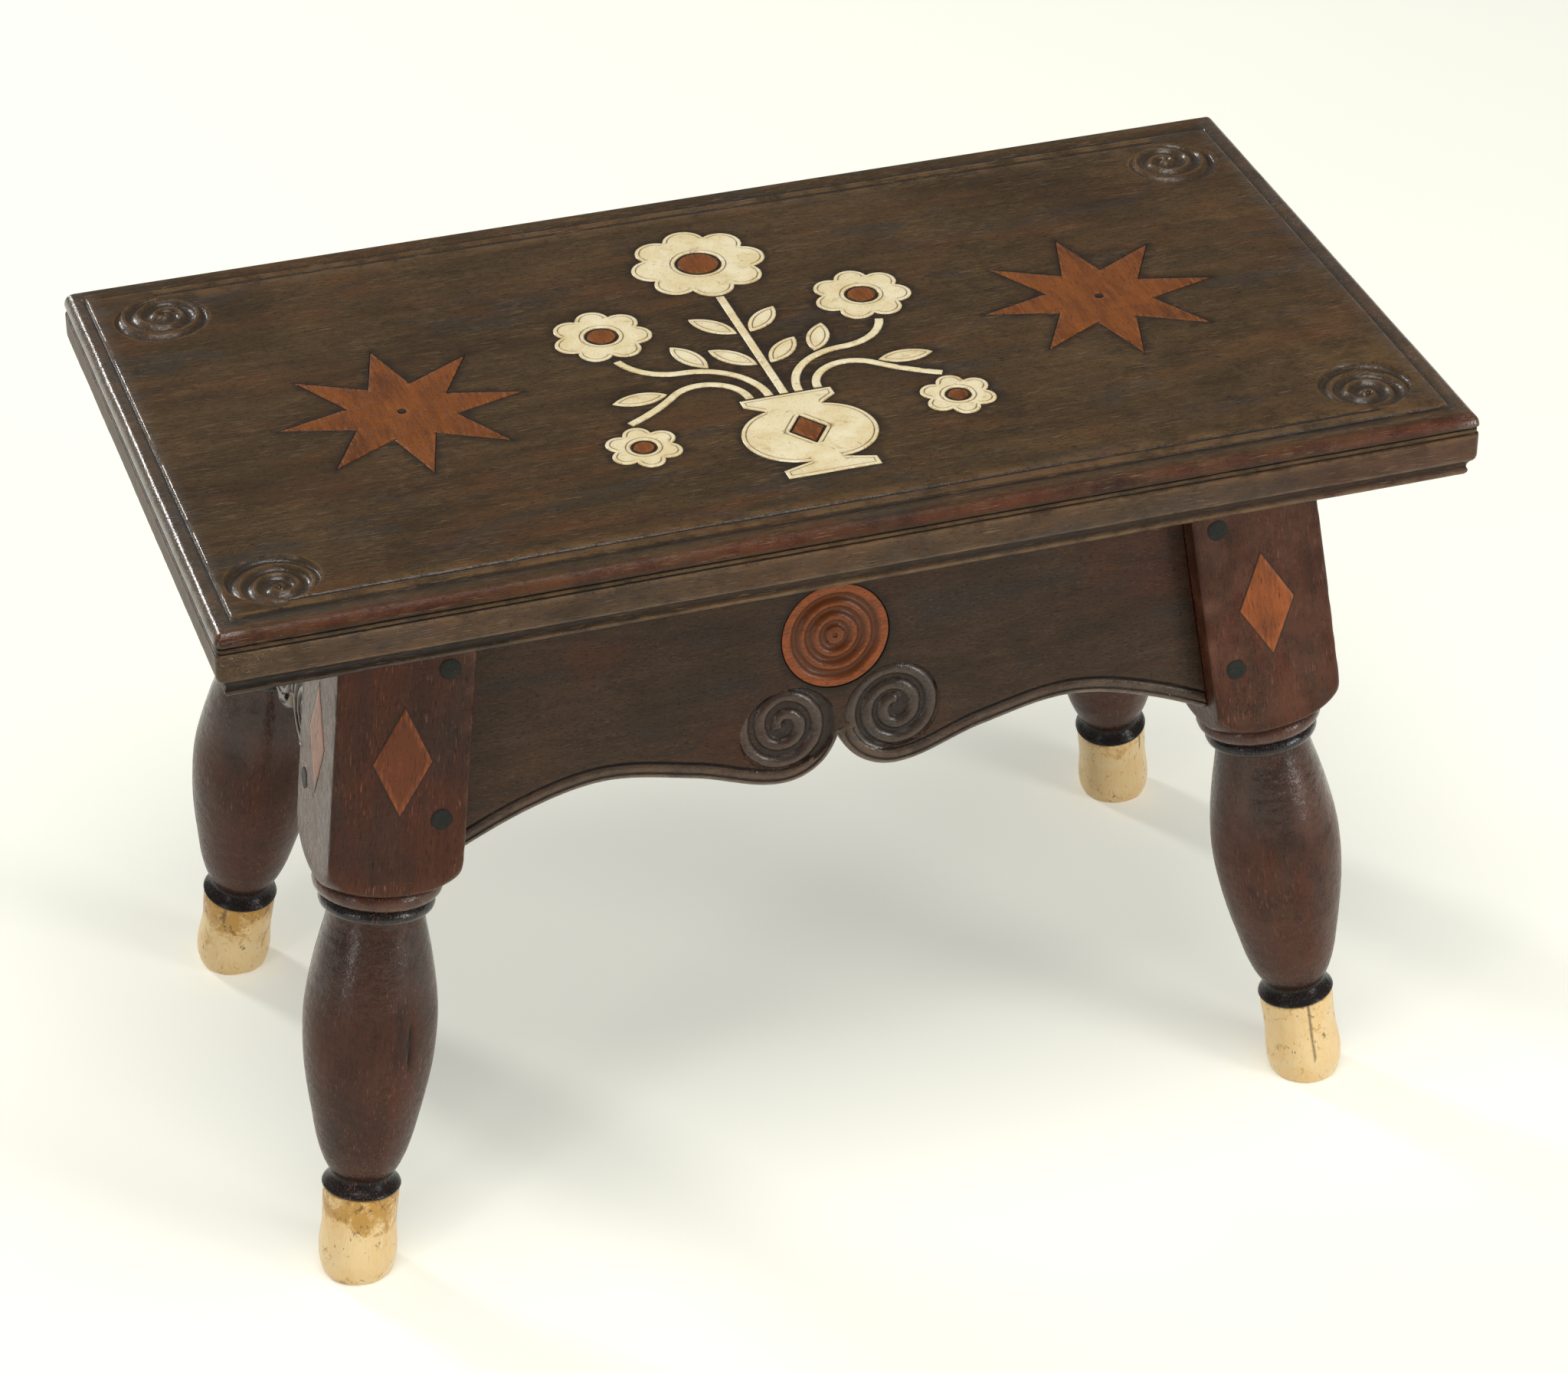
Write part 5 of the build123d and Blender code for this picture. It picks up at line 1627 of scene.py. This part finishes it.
def make_foot(corner, side_x, side_y, seed):
    """A bone foot, turned, stained near its top, level on the floor."""
    # The back right foot's low stain is painted light, for a foot that stands in the stool's shade
    stain_and_painted_light = leg_states[corner][2]
    crack_angle, crack_low = {"front_right": (-1.5, 9.0), "front_left": (0.9, 24.0)}.get(
        corner, (2.2, 22.0)
    )
    around = turns(96)
    circle = circle_points(around)
    # Angle from the crack, the short way round
    gap = np.abs((around - crack_angle % full_turn + pi) % full_turn - pi)
    foot = Rows()
    for z, r in foot_rows:
        place = np.column_stack((circle * r, np.full(len(circle), z)))
        wobble = 0.10 * ripple(place, 16, seed) + 0.05 * ripple(place, 4, seed + 1)
        wobble = wobble * (r > 6) - 0.06
        stain = smooth_step(13.5, 23.5, z + 3.0 * ripple(place, 13, seed + 2))
        low = smooth_step(5, -1, z) * smooth_step(-0.2, 0.6, ripple(place, 9, seed + 3))
        foot.add(
            *circle.T * (r + wobble), z,
            grime=stain_and_painted_light * np.maximum(stain, 0.45 * low) + 0.7 * smooth_step(28.3, 28.8, z),
            cut=(gap < 0.04) * (z > crack_low) * (r > 8) * 0.9,
        )
    shift = (seed * 11.0, seed * 5.0, seed * 3.0)
    points, faces, layers = on_leg(foot.part(last=False), side_x, side_y, shift)
    points[:, 2] = np.maximum(points[:, 2], 0.0)
    add_piece(
        f"foot_{corner}_turned", points, faces, foot_bone, "bone", "foot_" + corner, **layers
    )


def make_diamond(node, side_x, side_y, across, seed, tone):
    """Diamond tile in a leg's outer face with a dark seam round it."""
    tall, wide, middle = 34.3 / 2, 17.6 / 2, leg_length - 47.9
    shape = divide(np.array(((wide, 0), (0, tall), (-wide, 0), (0, -tall))), 1.0)
    tile = Rows()
    for scale, out, grime, wear in (
        (1.035, -0.3, 1.0, 0), (1.03, 0.03, 1.0, 0), (1.0, 0.0, 1.0, 0), (0.985, 0.02, 0.5, 0),
        (0.965, 0.08, 0.0, 0.6), (0.75, 0.09, 0, 0), (0.5, 0.09, 0, 0), (0.25, 0.09, 0, 0),
        (0.01, 0.09, 0, 0),
    ):
        x, z = (shape * scale).T
        lift = out + 0.02 * ripple(shape * scale, 8, seed) - 0.02
        tile.add(x, -half_square - lift, z + middle, grime=grime, wear=wear, tone=tone)
    shift = (seed * 11.0, seed * 5.0, seed * 3.0)
    points, faces, layers = on_leg(tile.part(), side_x, side_y, shift, across)
    add_piece(node + "_set", points, faces, diamond_wood, "red_wood", node, **layers)


def make_pegs(node, places):
    """The pegs of one side: whole rods, their ends slightly proud and uneven."""
    circle = circle_points(turns(40))
    inwards = 12.4
    parts = []
    for index, (side_x, side_y, across, height) in enumerate(places):
        peg = Rows()
        for r, out, grime in (
            (3.05, -25.5, 1), (3.05, -0.4, 1.0), (3.22, 0.02, 1.0), (3.05, 0.05, 1.0),
            (2.8, 0.12, 0.3), (2.2, 0.16, 0.0), (1.3, 0.15, 0.0), (0.6, 0.12, 0), (0.05, 0.1, 0.0),
        ):
            uneven = 1 + 0.05 * ripple(circle * 3, 3, index + int(height))
            place = circle * r * uneven[:, None]
            lift = out + (0.03 * ripple(place, 2.5, index) if out > 0 else 0)
            x, z = place.T
            peg.add(x + inwards, -half_square - lift, z + height, grime=grime)
        parts.append(on_leg(peg.part(first=True), side_x, side_y, index * 9.0, across))
    points, faces, layers = merge(parts)
    add_piece(node + "_worn", points, faces, peg_wood, "peg_wood", node, **layers)


tenon_top = leg_length - 12.0
peg_heights = (tenon_top - 61.0 + 6.4, tenon_top - 7.3)
for index, (corner, *sides) in enumerate(corners):
    make_leg(corner, *sides, 60 + 10 * index)
    make_foot(corner, *sides, 110 + 10 * index)
    tone = {"front_left": 0.9, "front_right": -0.15}.get(corner, 0.2)
    make_diamond("diamond_long_side_" + corner, *sides, False, 160 + index, tone)
    make_diamond("diamond_end_" + corner, *sides, True, 170 + index, 0.2)
for node, side in (("front", -1), ("back", 1)):
    make_pegs("pegs_" + node, [(x, side, False, h) for x in (-1, 1) for h in peg_heights])
for node, side in (("left", -1), ("right", 1)):
    make_pegs("pegs_" + node, [(side, y, True, h) for y in (-1, 1) for h in peg_heights])


# CAD nodes that stay, in better materials

def plain_wood(name, light, dark, rough):
    """Unpolished wood for hidden blocks and pins, in the node's own place."""
    s = Shader(name, ("TexCoord", "Object", {}))
    grain = s.noise((90, 900, 900), 4.0, 0.6, 0.3)
    colour = s.ramp(grain, (0.35, dark), (0.65, light))
    return s.finish(colour, s.sum(rough, (grain, 0.1)), grain, 0.1)


hidden_wood = plain_wood("hidden_wood", (0.13, 0.075, 0.04), (0.06, 0.033, 0.018), 0.6)
pin_wood = plain_wood("pin_wood", (0.02, 0.016, 0.013), (0.008, 0.007, 0.006), 0.45)
for node in ("glue_blocks_long", "glue_blocks_end", "star_pins"):
    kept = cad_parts[node]
    kept.data.materials.clear()
    kept.data.materials.append(pin_wood if node == "star_pins" else hidden_wood)


# Floor, lamps, camera

def make_floor(reach, colour, glow_colour, glow):
    """Pale floor that keeps the stool's shadow."""
    s = Shader("pale_floor")
    seen = 0.0
    for kind in ("Is Camera Ray", "Is Glossy Ray", "Is Transmission Ray"):
        seen = s.calc("ADD", seen, s.node("LightPath", {}, kind))
    matt = s.node("BsdfDiffuse", {"Color": colour})
    light = s.node("Emission", {"Color": glow_colour, "Strength": s.times(seen, glow)})
    output = s.tree.nodes.new("ShaderNodeOutputMaterial")
    s.put(output.inputs["Surface"], s.node("AddShader", {0: matt, 1: light}))
    mesh = bpy.data.meshes.new("floor")
    edges = [(x * reach, y * reach, 0) for x, y in ((-1, -1), (1, -1), (1, 1), (-1, 1))]
    mesh.from_pydata(edges, [], [(0, 1, 2, 3)])
    mesh.materials.append(s.material)
    floor = bpy.data.objects.new("floor", mesh)
    bpy.context.scene.collection.objects.link(floor)


def add_lamp(name, place, target, size, power, colour):
    """Soft rectangular lamp aimed at a point, in metres."""
    light = bpy.data.lights.new(name, "AREA")
    light.shape = "RECTANGLE"
    light.size, light.size_y = size
    light.energy = power
    light.color = colour
    lamp = bpy.data.objects.new(name, light)
    lamp.location = place
    lamp.rotation_euler = (Vector(target) - Vector(place)).to_track_quat("-Z", "Y").to_euler()
    bpy.context.scene.collection.objects.link(lamp)


make_floor(30, (0.86, 0.86, 0.775), (1.0, 1.0, 0.9), 0.29)
add_lamp("overhead", (-0.15, -0.55, 2.2), (0, 0, 0.12), (1.4, 1.1), 28, (1.0, 0.985, 0.95))
add_lamp("rim", (-1.05, 1.72, 1.12), (0, 0, 0.16), (0.3, 0.3), 15, (1.0, 0.99, 0.97))
add_lamp("right", (1.0, -1.1, 0.52), (0, 0, 0.12), (0.4, 0.7), 8, (1.0, 0.985, 0.96))
add_lamp("left", (-1.25, -0.78, 0.5), (0, 0, 0.12), (0.16, 0.7), 2.6, (1.0, 0.98, 0.94))

world = bpy.data.worlds.new("studio")
world.use_nodes = True
background = world.node_tree.nodes["Background"]
background.inputs["Color"].default_value = (0.95, 0.985, 1.0, 1)
background.inputs["Strength"].default_value = 0.24
bpy.context.scene.world = world


def make_camera(azimuth, elevation, roll, place, lens):
    """Camera with the photograph's view."""
    back = Vector((sin(azimuth) * cos(elevation), -cos(azimuth) * cos(elevation), sin(elevation)))
    data = bpy.data.cameras.new("camera")
    data.sensor_width = 36
    data.lens = lens
    camera = bpy.data.objects.new("camera", data)
    camera.location = place
    camera.rotation_mode = "QUATERNION"
    camera.rotation_quaternion = Quaternion(back, roll) @ (-back).to_track_quat("-Z", "Y")
    bpy.context.scene.collection.objects.link(camera)
    bpy.context.scene.camera = camera


make_camera(
    radians(-18.3975), radians(33.3671), radians(-0.0937), (-0.3963, -1.2161, 0.9671), 113.63
)
bpy.context.scene.view_settings.view_transform = "Standard"
